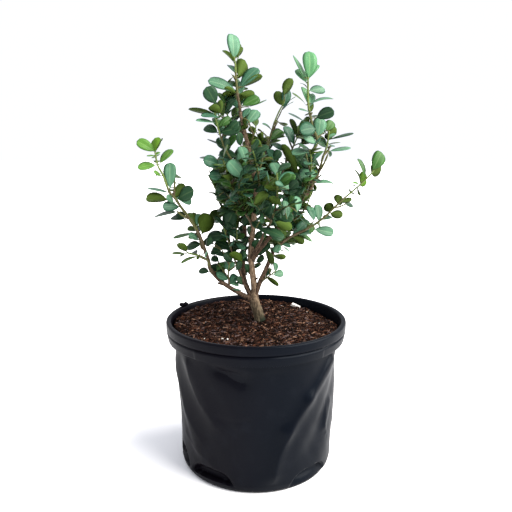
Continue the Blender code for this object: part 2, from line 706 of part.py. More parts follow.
def grow_leaves(name, shoots, crowd, dice):
    """The leaves of a mass. One that would touch anything else is tried smaller, then skipped."""
    leaves = []
    for number, shoot in enumerate(shoots):
        bare = MASSES[name].bare * MM if number == 0 else 0.6 * PAIR_SPACING
        for distance, turn, splay, halves in leaf_places(shoot, bare, dice):
            root, tangent = walk(shoot, distance)
            share = distance / path_length(shoot)
            size = MASSES[name].leaf * (LEAF_FOOT_SIZE - LEAF_TAPER * share) * dice.uniform(*LEAF_SIZES)
            for half in halves:
                twist = math.radians(dice.uniform(-LEAF_TWIST, LEAF_TWIST))
                for shrink, tilt in LEAF_TRIES:
                    along, face = leaf_frame(root, tangent, turn + half + tilt, splay + tilt * 0.6)
                    tip = root + along * LEAF_LENGTH * size * shrink
                    if min((tip - point).length for point in shoots[0]) > REACH:
                        continue
                    face = Matrix.Rotation(twist, 3, along) @ face
                    length = LEAF_LENGTH * size * shrink
                    width = length * LEAF_WIDTH_SHARE
                    if crowd.touches(*leaf_probe(root, along, face, length, width), skip=(wood_of(name),)):
                        continue
                    solid = leaf_solid(root, along, face, length, width)
                    crowd.add(name, *solid)
                    leaves.append(solid)
                    break
    return leaves


def is_closed(mesh):
    """Whether every edge of the mesh has two faces."""
    shape = bmesh.new()
    shape.from_mesh(mesh)
    closed = all(len(edge.link_faces) == 2 for edge in shape.edges)
    shape.free()
    return closed


def join(name, solids, solver, material):
    """One object for a stem, its twigs and its leaves, by one Boolean union on a collection."""
    obj = add_solid(name, *solids[0], material)
    others = bpy.data.collections.new(name + " pieces")
    bpy.context.scene.collection.children.link(others)
    for i, solid in enumerate(solids[1:]):
        piece = add_solid(f"{name}_piece_{i}", *solid)
        bpy.context.scene.collection.objects.unlink(piece)
        others.objects.link(piece)
    union = obj.modifiers.new("union", "BOOLEAN")
    union.operation = "UNION"
    union.operand_type = "COLLECTION"
    union.collection = others
    union.solver = solver
    apply_modifiers(obj)
    for piece in list(others.objects):
        mesh = piece.data
        bpy.data.objects.remove(piece)
        bpy.data.meshes.remove(mesh)
    bpy.data.collections.remove(others)
    return obj


def fuse(name, solids, material):
    """A mass as one closed body. Where neither solver closes it, one of its leaves is left out."""
    choices = [solids] + [solids[:i] + solids[i + 1 :] for i in range(len(solids) - 1, 0, -1)]
    for pieces in choices:
        for solver in ("EXACT", "MANIFOLD"):
            obj = join(name, pieces, solver, material)
            if is_closed(obj.data):
                return obj
            bpy.data.objects.remove(obj)


def start_crowd(solids):
    """A crowd that holds the limbs, the mulch, the pot and every mass's stem."""
    crowd = Crowd()
    for obj in solids:
        points = [vert.co.copy() for vert in obj.data.vertices]
        crowd.add(obj.name, points, [tuple(face.vertices) for face in obj.data.polygons])
    for name in MASSES:
        crowd.add(wood_of(name), *stem_tube(stem_path(name)))
    return crowd


def grow_mass(name, crowd, dice):
    """The solids of one mass: its stem, its side twigs and its leaves."""
    stem = stem_path(name)
    twigs = grow_twigs(name, stem, crowd, dice)
    leaves = grow_leaves(name, [stem, *twigs], crowd, dice)
    return [stem_tube(stem)] + [twig_tube(path) for path in twigs] + leaves


clear_scene()
plastic = plain_material("pot_plastic", (0.014, 0.016, 0.02), 0.45)
mulch_brown = plain_material("bark_mulch", (0.09, 0.04, 0.025), 0.95)
bark = plain_material("bark", (0.25, 0.16, 0.11), 0.8)
leaf_green = plain_material("leaf_green", (0.05, 0.16, 0.09), 0.45)
pot = make_pot(plastic)
mulch = make_mulch(mulch_brown)
make_tab(plastic)
limbs = make_limbs(bark)
crowd = start_crowd([*limbs.values(), mulch, pot])
for mass_name, mass in MASSES.items():
    fuse(mass_name, grow_mass(mass_name, crowd, random.Random(mass.seed)), leaf_green)
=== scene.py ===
"""A young boxwood in its soft black nursery pot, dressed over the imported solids.

The sections follow the object from the ground up: studio, pot, torn tab, bark mulch, trunk and boughs,
and the crown, whose shoots and leaves grow by the same rule and seeds as the solids.
Lengths are in metres, +Z is up and the front of the plant faces -Y.
"""

import json
import math
import random
from collections import defaultdict, namedtuple

import bpy
import numpy as np
from mathutils import Matrix, Vector
from mathutils.bvhtree import BVHTree

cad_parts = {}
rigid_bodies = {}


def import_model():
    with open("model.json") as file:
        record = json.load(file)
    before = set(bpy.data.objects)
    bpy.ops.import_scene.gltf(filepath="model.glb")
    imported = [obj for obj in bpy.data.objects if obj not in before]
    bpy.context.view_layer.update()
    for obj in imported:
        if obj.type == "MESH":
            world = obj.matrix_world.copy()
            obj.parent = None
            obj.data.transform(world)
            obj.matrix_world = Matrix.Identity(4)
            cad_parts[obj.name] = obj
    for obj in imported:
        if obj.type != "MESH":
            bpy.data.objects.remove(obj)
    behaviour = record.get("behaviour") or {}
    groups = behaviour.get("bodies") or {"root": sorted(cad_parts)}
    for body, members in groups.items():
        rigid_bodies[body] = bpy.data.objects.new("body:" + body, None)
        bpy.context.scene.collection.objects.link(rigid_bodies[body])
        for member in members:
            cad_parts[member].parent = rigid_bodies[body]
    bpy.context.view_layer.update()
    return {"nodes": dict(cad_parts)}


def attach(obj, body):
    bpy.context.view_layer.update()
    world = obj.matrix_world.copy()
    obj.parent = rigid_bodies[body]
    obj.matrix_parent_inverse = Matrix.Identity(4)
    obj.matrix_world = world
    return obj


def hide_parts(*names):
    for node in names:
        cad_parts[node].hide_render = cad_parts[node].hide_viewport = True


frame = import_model()

# The camera stands half a metre in front of the pot, a little above the crown's middle, and looks
# slightly down into the pot's mouth, as in the photograph.
CAMERA_PLACE = (0, -0.501, 0.290)
CAMERA_TILT = 79.1
LENS = 39.5
SENSOR_WIDTH = 36
camera_data = bpy.data.cameras.new("photo_camera")
camera_data.sensor_width = SENSOR_WIDTH
camera_data.lens = LENS
camera = bpy.data.objects.new("photo_camera", camera_data)
camera.location = CAMERA_PLACE
camera.rotation_euler = (math.radians(CAMERA_TILT), 0, 0)
bpy.context.scene.collection.objects.link(camera)
bpy.context.scene.camera = camera

# The studio: a white paper floor that runs off into a white, faintly blue room, and one broad soft light
# high on the right and a little in front, so that the pot's pale shadow falls to the left.


class Shade:
    """One output of a material's nodes. Arithmetic on it adds Math nodes, so shader sums read like sums."""

    def __init__(self, tree, socket=None):
        self.tree = tree
        self.socket = socket

    def node(self, kind, settings=None, inputs=None, output=0):
        """Any node, by its type, its settings, set first, and the values or links of its sockets."""
        made = self.tree.nodes.new(kind)
        for name, setting in (settings or {}).items():
            if name == "stops":
                while len(made.color_ramp.elements) < len(setting):
                    made.color_ramp.elements.new(1)
                for stop, (place, colour) in zip(made.color_ramp.elements, setting):
                    stop.position = place
                    stop.color = (*colour, 1)
            else:
                setattr(made, name, setting)
        for key, value in (inputs or {}).items():
            if isinstance(value, Shade):
                self.tree.links.new(value.socket, made.inputs[key])
            else:
                made.inputs[key].default_value = value
        return Shade(self.tree, made.outputs[output])

    def maths(self, operation, first, second=0.0):
        return self.node("ShaderNodeMath", {"operation": operation}, {0: first, 1: second})

    def __add__(self, other):
        return self.maths("ADD", self, other)

    def __radd__(self, other):
        return self.maths("ADD", other, self)

    def __sub__(self, other):
        return self.maths("SUBTRACT", self, other)

    def __rsub__(self, other):
        return self.maths("SUBTRACT", other, self)

    def __mul__(self, other):
        return self.maths("MULTIPLY", self, other)

    def __rmul__(self, other):
        return self.maths("MULTIPLY", other, self)

    def between(self, low, high):
        """0 where the value is under low, 1 where it is over high, and a smooth ramp between."""
        settings = {"interpolation_type": "SMOOTHSTEP"}
        return self.node("ShaderNodeMapRange", settings, {"Value": self, "From Min": low, "From Max": high})

    def mixed(self, first, second):
        """Two colours mixed by this value."""
        colours = {0: self}
        for key, colour in ((6, first), (7, second)):
            colours[key] = colour if isinstance(colour, Shade) else (*colour, 1)
        return self.node("ShaderNodeMix", {"data_type": "RGBA"}, colours, output=2)


def new_finish(name, roughness=0.5, specular=0.5, coat=0.0, coat_roughness=0.3):
    """A material with a Principled shader whose constants are set on its own sockets."""
    material = bpy.data.materials.new(name)
    material.use_nodes = True
    shader = material.node_tree.nodes["Principled BSDF"]
    shader.inputs["Roughness"].default_value = roughness
    shader.inputs["Specular IOR Level"].default_value = specular
    shader.inputs["Coat Weight"].default_value = coat
    shader.inputs["Coat Roughness"].default_value = coat_roughness
    return material, shader, Shade(material.node_tree)


def feed(shader, name, value):
    """Gives one of the shader's sockets a value or a link."""
    if isinstance(value, Shade):
        value.tree.links.new(value.socket, shader.inputs[name])
    else:
        shader.inputs[name].default_value = value


def object_place(shade, stretch=(1, 1, 1)):
    """Object coordinates, stretched along the axes."""
    place = shade.node("ShaderNodeTexCoord", output=3)
    return shade.node("ShaderNodeMapping", inputs={"Vector": place, "Scale": stretch})


def one_axis(place, axis):
    """The x, y or z of a place, as axis 0, 1 or 2."""
    return place.node("ShaderNodeSeparateXYZ", inputs={"Vector": place}, output=axis)


def cloud(shade, place, scale, detail=3.0, roughness=0.5):
    """Soft noise from 0 to 1, scale counting its lumps in a metre."""
    sizes = {"Vector": place, "Scale": scale, "Detail": detail, "Roughness": roughness}
    return shade.node("ShaderNodeTexNoise", inputs=sizes)


def bumped(shade, height, distance, strength=1.0):
    """A normal that follows a height from 0 to 1, distance being the real depth of the relief."""
    inputs = {"Height": height, "Distance": distance, "Strength": strength}
    return shade.node("ShaderNodeBump", inputs=inputs)


def grained(name, colours, size, ramp=None, stretch=(1, 1, 1), detail=3.0, grit=0.5, relief=None, **skin):
    """A material whose colour runs between two along one grain of noise, which also lifts its surface: the
    ramp is the stretch of the noise that is used, the relief a depth in metres and a strength."""
    material, shader, shade = new_finish(name, **skin)
    grain = cloud(shade, object_place(shade, stretch), size, detail, grit)
    share = grain.between(*ramp) if ramp else grain
    feed(shader, "Base Color", share.mixed(*colours))
    if relief:
        feed(shader, "Normal", bumped(shade, grain, *relief))
    return material


def lay_mesh(name, points, faces, materials, slots=None, sharp=None):
    """A piece from its points and faces, smooth except along edges sharper than so many degrees."""
    mesh = bpy.data.meshes.new(name)
    mesh.from_pydata(np.asarray(points).reshape(-1, 3), [], faces)
    for material in materials:
        mesh.materials.append(material)
    if slots is not None:
        mesh.polygons.foreach_set("material_index", np.asarray(slots, np.int32))
    mesh.shade_smooth()
    if sharp:
        mesh.set_sharp_from_angle(angle=math.radians(sharp))
    mesh.update()
    piece = bpy.data.objects.new(name, mesh)
    bpy.context.scene.collection.objects.link(piece)
    return piece


PAPER_WHITES = ((0.93, 0.93, 0.94), (0.95, 0.95, 0.96))
FLOOR_REACH = 12.0
paper = grained("floor_paper", PAPER_WHITES, 900, roughness=0.7, specular=0.2)
corners = np.array([(-1, -1, 0), (1, -1, 0), (1, 1, 0), (-1, 1, 0)]) * FLOOR_REACH
floor = lay_mesh("studio_floor", corners, [(0, 1, 2, 3)], [paper])

ROOM_WHITE = (1.0, 1.02, 1.09, 1)
bpy.context.scene.view_settings.view_transform = "Standard"
room = bpy.data.worlds.new("white_room")
room.use_nodes = True
room.node_tree.nodes["Background"].inputs["Color"].default_value = ROOM_WHITE
room.node_tree.nodes["Background"].inputs["Strength"].default_value = 1.0
bpy.context.scene.world = room

SOFTNESS = 66
LIGHT_FROM = (1.0, -0.22, 0.90)
LIGHT_STRENGTH = 9.4
LIGHT_COLOUR = (1.0, 0.97, 0.92)
broad_light = bpy.data.lights.new("broad_light", "SUN")
broad_light.energy = LIGHT_STRENGTH
broad_light.angle = math.radians(SOFTNESS)
broad_light.color = LIGHT_COLOUR
lamp = bpy.data.objects.new("broad_light", broad_light)
lamp.rotation_euler = Vector(LIGHT_FROM).to_track_quat("Z", "Y").to_euler()
bpy.context.scene.collection.objects.link(lamp)

# The pot: a soft nursery pot of thin black plastic, pressed into long folds by the weight of the soil.
# It stands on a thin foot ring with pockets above it, and a stiff band, a groove and a rounded lip
# carry its mouth. The shell is one turned profile: sole, wall, over the lip, and down inside.
MM = 0.001
POT_COLUMNS = 480
POT_HEIGHT = 136.2
RIM_RADIUS = 82.6
BODY_TOP_RADIUS = 74.8
BODY_FOOT_RADIUS = 71.0
SOLE_RADIUS = 67.3
FOOT_RING_RADIUS = 69.6
FILM = 2.2
BAND_FOOT = 118.9
LIP_FOOT = 128.4
PANEL_ENDS = (-38, 43)
PANEL_EDGE = 0.6
PANEL_RISE = 0.5
RELIEF_FOOT = (4, 20)
RELIEF_TOP = (108, 118)
CREASE_ROUNDING = 0.35
CREASE_DROP = 0.59

# Soft folds of the wall: from (degrees, mm up) to (degrees, mm up), rise in mm, half width in mm
FOLDS = (
    (60, 108, 36, 82, 1.6, 6),
    (36, 82, 20, 56, 1.8, 7),
    (20, 56, 9, 12, 1.8, 7),
    (78, 96, 44, 34, -2.4, 12),
    (66, 66, 57, 47, 1.6, 5),
    (12, 104, -2, 30, -1.6, 16),
    (-24, 113, -9, 104, -3.0, 9),
    (-70, 104, -44, 36, 1.8, 8),
    (-52, 112, -28, 62, 1.4, 7),
    (-88, 82, -80, 34, -1.6, 12),
    (104, 110, 132, 22, 2.2, 9),
    (150, 106, 120, 40, -2.0, 12),
    (176, 100, 196, 18, 2.0, 9),
    (232, 108, 216, 30, -2.2, 12),
    (250, 98, 262, 30, 1.6, 9),
)

# Creases with an edge: the line's points (degrees, mm up), rise in mm, reach to its left and right in mm
CREASES = (
    (((60, 113), (50, 103), (42, 92.5), (35, 82), (28, 69.5), (22.4, 56.5), (18.2, 45.6),
      (15.2, 36), (13.2, 25), (12.4, 12)), 2.1, 3.0, 12),
    (((60, 63), (57, 48), (61, 39)), 1.2, 2, 4),
    (((-52, 115), (-48, 96), (-40, 78), (-30, 66)), 0.9, 7, 3),
    (((-70, 96), (-62, 84), (-55, 63), (-40, 42)), 1.0, 6, 5),
    (((-34, 117), (-24, 109), (-9, 102)), -1.3, 2.5, 4),
    (((-26, 68), (-14, 66), (-5, 68)), -0.5, 2, 2),
    (((-25, 67), (-14, 59)), -0.45, 2, 2),
    (((-60, 40), (-44, 30), (-30, 20)), 0.7, 4, 5),
    (((120, 108), (132, 70), (138, 24)), 1.1, 4, 8),
    (((186, 112), (194, 66), (188, 18)), 1.1, 7, 4),
    (((222, 100), (240, 62), (250, 24)), 0.9, 4, 7),
    (((98, 92), (84, 66), (80, 40)), 0.8, 4, 4),
)

# Pockets above the foot ring: middle and half width in degrees, foot and top in mm up, depth in mm,
# and the heights in mm over which their foot and their top slope. Their sides slope over so many
# degrees inside and outside the half width, and their foot and top bow down towards the sides.
POCKET_SIDES = (7, 3)
POCKET_BOW = 2.0
POCKET_SHRINK = 0.8
POCKETS = (
    (-70, 13, 8.0, 24.0, 4.5, 2.0, 6),
    (-35, 20, 7.0, 19.5, 5.2, 1.5, 6),
    (43, 20, 0.5, 16.0, 5.4, 12, 2.5),
    (102, 15, 4.5, 16.5, 4.0, 3, 6),
    (150, 16, 4.5, 17.5, 4.0, 5, 6),
    (208, 16, 4.5, 16.5, 4.0, 3, 6),
)


def smooth_step(value, low, high):
    """3s² - 2s³, where s runs from 0 at low to 1 at high."""
    share = np.clip((value - low) / (high - low), 0, 1)
    return share * share * (3 - 2 * share)


def to_line(line, angles, heights):
    """Distance in mm from each point of the wall to a line on it, positive to its right going down."""
    nearest = np.full(np.broadcast(angles, heights).shape, np.inf)
    middle = (line[0][0] + line[-1][0]) / 2
    wrapped = (angles - middle + 180) % 360 - 180 + middle
    for (angle_a, height_a), (angle_b, height_b) in zip(line, line[1:]):
        across = np.radians(wrapped - angle_a) * BODY_TOP_RADIUS
        lift = heights - height_a
        step = np.radians(angle_b - angle_a) * BODY_TOP_RADIUS
        climb = height_b - height_a
        share = np.clip((across * step + lift * climb) / (step**2 + climb**2), 0, 1)
        gap = np.hypot(across - share * step, lift - share * climb)
        side = np.where(lift * step - across * climb > 0, 1, -1)
        nearest = np.where(gap < np.abs(nearest), side * gap, nearest)
    return nearest


def wall_relief(angles, heights):
    """How far the film stands out, in mm: the folds are bell curves of the distance to a line, the creases
    fall off as exp(-distance/reach) on each side, and slow waves keep the film from being true."""
    relief = np.zeros(np.broadcast(angles, heights).shape)
    for angle_a, height_a, angle_b, height_b, rise, width in FOLDS:
        gap = to_line(((angle_a, height_a), (angle_b, height_b)), angles, heights)
        relief += rise * np.exp(-((gap / width) ** 2))
    for line, rise, left, right in CREASES:
        gap = to_line(line, angles, heights)
        rounded = np.sqrt(gap**2 + CREASE_ROUNDING) - CREASE_DROP
        relief += rise * np.exp(-rounded / np.where(gap > 0, right, left))
    turn = np.radians(angles)
    relief += 0.16 * np.sin(7 * turn + heights / 13) * np.sin(heights / 17 + 1)
    relief += 0.10 * np.sin(17 * turn - heights / 7 + 2) * np.cos(heights / 11)
    relief += 0.05 * np.sin(31 * turn + heights / 4.5)
    relief *= smooth_step(heights, *RELIEF_FOOT) * (1 - smooth_step(heights, *RELIEF_TOP))
    for middle, half, foot, top, depth, foot_ramp, top_ramp in POCKETS:
        away = np.abs((angles - middle + 180) % 360 - 180)
        bowed = heights + POCKET_BOW * np.minimum(away / half, 1.3) ** 2
        top = top - POCKET_SHRINK * (top - foot) * np.minimum(away / half, 1.0) ** 4
        window = smooth_step(bowed, foot, foot + foot_ramp) * (1 - smooth_step(bowed, top - top_ramp, top))
        relief -= depth * window * (1 - smooth_step(away, half - POCKET_SIDES[0], half + POCKET_SIDES[1]))
    return relief


def grid_faces(rows, columns, first=0):
    """Quads of a grid whose last column joins its first, facing out when the rows run up an outer wall."""
    low = first + np.arange(rows - 1)[:, None] * columns
    here = np.arange(columns)[None, :]
    beside = (here + 1) % columns
    quads = np.stack([low + here, low + beside, low + columns + beside, low + columns + here], axis=-1)
    return quads.reshape(-1, 4)


def fan_faces(first, columns, pole, at_start):
    """Triangles that close a ring onto a pole point, at the start or the end of a grid."""
    here = np.arange(columns)
    beside = (here + 1) % columns
    ends = (beside, here) if at_start else (here, beside)
    return np.stack([first + ends[0], first + ends[1], np.full(columns, pole)], axis=-1)


def closed_faces(rows, columns, first=0):
    """Faces of a grid and of the fans at its ends, whose two pole points come before the grid's."""
    grid = first + 2
    faces = grid_faces(rows, columns, grid).tolist()
    faces += fan_faces(grid, columns, first, True).tolist()
    return faces + fan_faces(grid + (rows - 1) * columns, columns, first + 1, False).tolist()


def round_turns(count):
    """The angles, in radians, of so many even steps round an axis."""
    return np.arange(count) * 2 * math.pi / count


def turned(radii, heights, columns):
    """Points of a turned surface: radius and height are grids of rows by columns, the angle runs round."""
    turn = round_turns(columns)
    return np.stack([radii * np.sin(turn), -radii * np.cos(turn), heights + 0 * turn], axis=-1)


def closed_turning(name, radii, heights, columns, materials, sharp=None):
    """A closed turned piece in mm, its first and last rows drawn together in poles on the axis."""
    grid = turned(radii, heights, columns) * MM
    poles = np.array([(0, 0, grid[0, :, 2].mean()), (0, 0, grid[-1, :, 2].mean())])
    points = np.concatenate([poles, grid.reshape(-1, 3)])
    return lay_mesh(name, points, closed_faces(len(grid), columns), materials, sharp=sharp)


pot_angles = np.arange(POT_COLUMNS) * 360.0 / POT_COLUMNS
signed_angles = (pot_angles + 180) % 360 - 180
on_panel = smooth_step(signed_angles, PANEL_ENDS[0] - PANEL_EDGE, PANEL_ENDS[0])
on_panel *= 1 - smooth_step(signed_angles, PANEL_ENDS[1], PANEL_ENDS[1] + PANEL_EDGE)
wall_heights = np.concatenate([np.linspace(0.8, 22, 26), np.linspace(23.5, 116.5, 62)])[:, None]
wall_radii = np.interp(
    wall_heights,
    (0, 3, 7, 20, 112),
    (SOLE_RADIUS, FOOT_RING_RADIUS, BODY_FOOT_RADIUS - 0.4, BODY_FOOT_RADIUS, BODY_TOP_RADIUS),
)
wall_radii = wall_radii + wall_relief(pot_angles[None, :], wall_heights)

# Rows over the rim: radius, height and how much of the panel's rise each takes
RIM_ROWS = (
    (75.6, 118.6, 0), (80.2, BAND_FOOT - 0.1, 0.6), (80.9, BAND_FOOT + 0.3, 1), (81.1, BAND_FOOT + 1.2, 1),
    (81.5, 121.8, 1), (81.9, 124.6, 1), (82.25, 126.0, 1), (82.2, 126.4, 0.8), (81.5, 127.2, 0.3),
    (81.3, 127.6, 0), (81.5, 127.9, 0), (82.3, LIP_FOOT + 0.1, 0), (82.6, LIP_FOOT + 0.7, 0),
    (82.6, 130.5, 0), (82.6, 132.8, 0), (82.6, 134.6, 0), (82.4, 135.4, 0), (81.9, 136.0, 0),
    (81.2, 136.2, 0), (80.2, 136.2, 0), (79.2, 136.1, 0), (78.5, 135.9, 0), (78.1, 135.3, 0),
    (77.9, 134.4, 0), (77.4, 131.5, 0), (76.8, LIP_FOOT, 0), (76.4, 124.0, 0), (75.9, 119.0, 0),
)
rim_radii = np.array([[row[0]] for row in RIM_ROWS])
rim_heights = np.array([[row[1]] for row in RIM_ROWS])
rim_panel = np.array([[row[2]] for row in RIM_ROWS]) * PANEL_RISE * on_panel[None, :]
turn = np.radians(pot_angles)[None, :]
rim_wave = 0.12 * np.sin(3 * turn + 1) + 0.08 * np.sin(5 * turn) + 0.03 * np.sin(23 * turn + rim_heights / 3)
inner_heights = np.array([112.0, 96, 64, 38, 28])[:, None]
inner_radii = np.interp(inner_heights, (20, 112), (BODY_FOOT_RADIUS, BODY_TOP_RADIUS)) - FILM
inner_radii = inner_radii + wall_relief(pot_angles[None, :], inner_heights)
sole_rows = np.array([[30.0], [60.0], [SOLE_RADIUS - 0.6], [SOLE_RADIUS]])
sole_heights = np.array([[0.0], [0.0], [0.0], [0.25]])
floor_rows = np.array([[58.0], [56.0], [30.0]])
floor_heights = np.array([[8.0], [3.0], [3.0]])
round_row = np.ones((1, POT_COLUMNS))
pot_radii = np.concatenate([
    sole_rows * round_row, wall_radii, rim_radii + rim_panel + rim_wave, inner_radii, floor_rows * round_row,
])
pot_rows = np.concatenate([sole_heights, wall_heights, rim_heights, inner_heights, floor_heights])

# Painted light: the film's black runs from warm on the left to bluish on the right, where the light falls
# and reflects.
FILM_BLACKS_PAINTED_BY_SIDE = ((0.0024, 0.0016, 0.0028), (0.0010, 0.0016, 0.0034))
DUST = (0.006, 0.007, 0.010)
pot_plastic, pot_shader, shade = new_finish("pot_plastic", specular=0.045, coat=0.045, coat_roughness=0.2)
feed(pot_shader, "Specular Tint", (0.60, 0.78, 1.0, 1))
feed(pot_shader, "Coat Tint", (0.8, 0.9, 1.0, 1))
place = object_place(shade)
mottle = cloud(shade, place, 14, detail=2)
scuff = cloud(shade, object_place(shade, (1, 1, 0.35)), 260, detail=4, roughness=0.6)
haze = cloud(shade, place, 60, detail=4).between(0.52, 0.75)
# Share of the painted bluish light tint, rising from the left side to the right.
painted_light_side = (one_axis(place, 0) + mottle * 0.03).between(-0.035, 0.045)
film_colour = painted_light_side.mixed(*FILM_BLACKS_PAINTED_BY_SIDE)
feed(pot_shader, "Base Color", (haze * 0.22).mixed(film_colour, DUST))
feed(pot_shader, "Roughness", 0.34 + mottle * 0.10 + scuff * 0.12)
pebble = cloud(shade, place, 1500, detail=2)
feed(pot_shader, "Normal", bumped(shade, pebble * 0.35 + scuff * 0.65, 0.00010, 0.55))
pot_shell = closed_turning("pot_shell", pot_radii, pot_rows, POT_COLUMNS, [pot_plastic], sharp=50)
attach(pot_shell, "root")
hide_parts("pot")

# The torn tab: a crumpled two-lobed scrap of the same plastic, left on the lip where the pot was parted
# from its neighbour in the mould.
TAB_ANGLE = math.radians(-117)
TAB_SKEW = math.radians(-35)
TAB_HALF_LENGTH = 4.6
TAB_HALF_DEPTH = 2.3
TAB_HALF_HEIGHT = 2.5
TAB_WAIST = 0.42
TAB_FLAT = -0.52
TAB_ROWS = 26
TAB_COLUMNS = 32
tab_tilt = np.linspace(0, math.pi, TAB_ROWS + 2)[1:-1, None]
tab_turn = round_turns(TAB_COLUMNS)[None, :]
tab_x = -np.cos(tab_tilt) + 0 * tab_turn
tab_waist = 1 - TAB_WAIST * np.exp(-((tab_x / 0.30) ** 2))
tab_crumple = 1 + 0.10 * np.sin(5 * tab_turn + 4 * tab_x) + 0.06 * np.sin(9 * tab_x + 3 * tab_turn)
tab_across = np.sin(tab_tilt) ** 0.7 * np.cos(tab_turn) * tab_crumple
tab_up = np.sin(tab_tilt) ** 0.7 * np.sin(tab_turn) * tab_crumple * tab_waist
tab_up = np.maximum(tab_up, TAB_FLAT)
tab_half = np.array([TAB_HALF_LENGTH, TAB_HALF_DEPTH, TAB_HALF_HEIGHT])
tab_grid = np.stack([tab_x, tab_across, tab_up], axis=-1) * tab_half * MM
tab_ends = np.array([(-TAB_HALF_LENGTH, 0, 0), (TAB_HALF_LENGTH, 0, 0)]) * MM
tab_points = np.concatenate([tab_ends, tab_grid.reshape(-1, 3)])
tab_radius = RIM_RADIUS - TAB_HALF_DEPTH
tab_seat = (tab_radius * math.sin(TAB_ANGLE), -tab_radius * math.cos(TAB_ANGLE), POT_HEIGHT + 1.5)
tab_turning = np.array(Matrix.Rotation(TAB_ANGLE + TAB_SKEW, 3, "Z"))
tab_points = tab_points @ tab_turning.T + np.array(tab_seat) * MM
torn_tab = lay_mesh("torn_tab", tab_points, closed_faces(TAB_ROWS, TAB_COLUMNS), [pot_plastic])
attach(torn_tab, "root")
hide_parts("rim_tab")

# The mulch: composted bark poured in to just under the lip, a little higher at the left. Its bed is a
# lumpy plug, and loose chips and slivers of five shades lie on it with a few white specks of perlite.
BED_COLUMNS = 240
BED_TOP = ((16, 130.2), (42, 130.7), (62, 131.6), (75, 132.6))
BED_HOLLOW = (114, 34, 6.5)
CHIP_LAYER = 0.6


def bed_height(x, y):
    """Height of the mulch in mm: the turned profile, less a hollow along the rim at the right, whose depth
    is a bell curve of the angle, with small waves on it."""
    reach = np.hypot(x, y)
    radii, heights = zip(*BED_TOP)
    height = np.interp(reach, radii, heights)
    middle, half, depth = BED_HOLLOW
    away = np.degrees(np.arctan2(x, -y)) - middle
    hollow = np.exp(-((((away + 180) % 360 - 180) / half) ** 2))
    height = height - depth * hollow * smooth_step(reach, 30, 74)
    height = height + 0.45 * np.sin(x / 4.1 + 1) * np.sin(y / 3.7) + 0.3 * np.sin(x / 2.3 - y / 2.9 + 2)
    return height + 0.2 * np.sin(x / 1.3 + y / 1.1)


bed_turn = round_turns(BED_COLUMNS)[None, :]
bed_reach = np.concatenate([np.linspace(75.2, 60, 16), np.linspace(59, 1.5, 44)])[:, None]
bed_radii = bed_reach + 0 * bed_turn
bed_top = bed_height(bed_radii * np.sin(bed_turn), -bed_radii * np.cos(bed_turn)) - CHIP_LAYER
side_radii = np.array([[30.0], [60.0], [74.0], [75.0], [75.2]]) + 0 * bed_turn
side_heights = np.array([[119.5], [119.5], [119.5], [120.0], [124.0]]) + 0 * bed_turn
# The bed shows only between the chips: its very dark browns are damp bark and also painted shade in those
# gaps.
DAMP_BROWNS_AND_GAP_SHADE = ((0.004, 0.002, 0.0015), (0.026, 0.010, 0.006))
damp_bark_and_gap_shade = grained(
    "damp_bark_and_gap_shade", DAMP_BROWNS_AND_GAP_SHADE, 420, (0.4, 0.75), detail=5, grit=0.65, relief=(0.0009,),
    roughness=0.85, specular=0.02,
)
mulch_bed = closed_turning(
    "mulch_bed",
    np.concatenate([side_radii, bed_radii]),
    np.concatenate([side_heights, bed_top]),
    BED_COLUMNS,
    [damp_bark_and_gap_shade],
)
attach(mulch_bed, "root")
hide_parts("mulch")

CHIP_SHADES = (
    ("chip_black", (0.005, 0.0025, 0.0018), 0.38),
    ("chip_brown", (0.018, 0.0075, 0.0045), 0.30),
    ("chip_red", (0.046, 0.018, 0.010), 0.17),
    ("chip_tan", (0.130, 0.072, 0.046), 0.07),
    ("chip_grey", (0.062, 0.042, 0.040), 0.08),
)
CHIP_COUNT = 8200


def around(colour, darker, lighter):
    """A darker and a lighter shade of a colour, as shares of it."""
    return tuple(darker * part for part in colour), tuple(lighter * part for part in colour)


chip_skin = {"detail": 4, "relief": (0.0003, 0.8), "roughness": 0.6, "specular": 0.03}
chip_materials = [
    grained(name, around(colour, 0.55, 1.5), 700, (0.3, 0.7), **chip_skin) for name, colour, _ in CHIP_SHADES
]


def chip_grid(places, sizes, yaw, pitch, roll):
    """Corners of many slivers: a box whose ends are drawn in and whose top is narrower, sized, turned and
    set down, all as arrays of chips by corners by axes."""
    box = np.array([(x, y, z) for z in (-1, 1) for x, y in ((-1, -1), (1, -1), (1, 1), (-1, 1))]) / 2
    box[:, 1] *= np.where(box[:, 0] > 0, 0.55, 1) * np.where(box[:, 2] > 0, 0.75, 1)
    box[:, 0] *= np.where(box[:, 2] > 0, 0.88, 1)
    corners = box[None] * sizes[:, None, :]
    for angle, first, second in ((roll, 1, 2), (pitch, 2, 0), (yaw, 0, 1)):
        cosine, sine = np.cos(angle)[:, None], np.sin(angle)[:, None]
        moved = corners[..., first] * cosine - corners[..., second] * sine
        corners[..., second] = corners[..., first] * sine + corners[..., second] * cosine
        corners[..., first] = moved
    return corners + places[:, None, :]


SLIVER_FACES = np.array([(3, 2, 1, 0), (4, 5, 6, 7), (0, 1, 5, 4), (1, 2, 6, 5), (2, 3, 7, 6), (3, 0, 4, 7)])


def lay_slivers(name, corners, materials, slots=None):
    """Many slivers as one joined mesh: the same six faces, counted on by eight corners each."""
    faces = (np.arange(len(corners))[:, None, None] * 8 + SLIVER_FACES[None]).reshape(-1, 4)
    return lay_mesh(name, corners * MM, faces.tolist(), materials, slots, sharp=30)


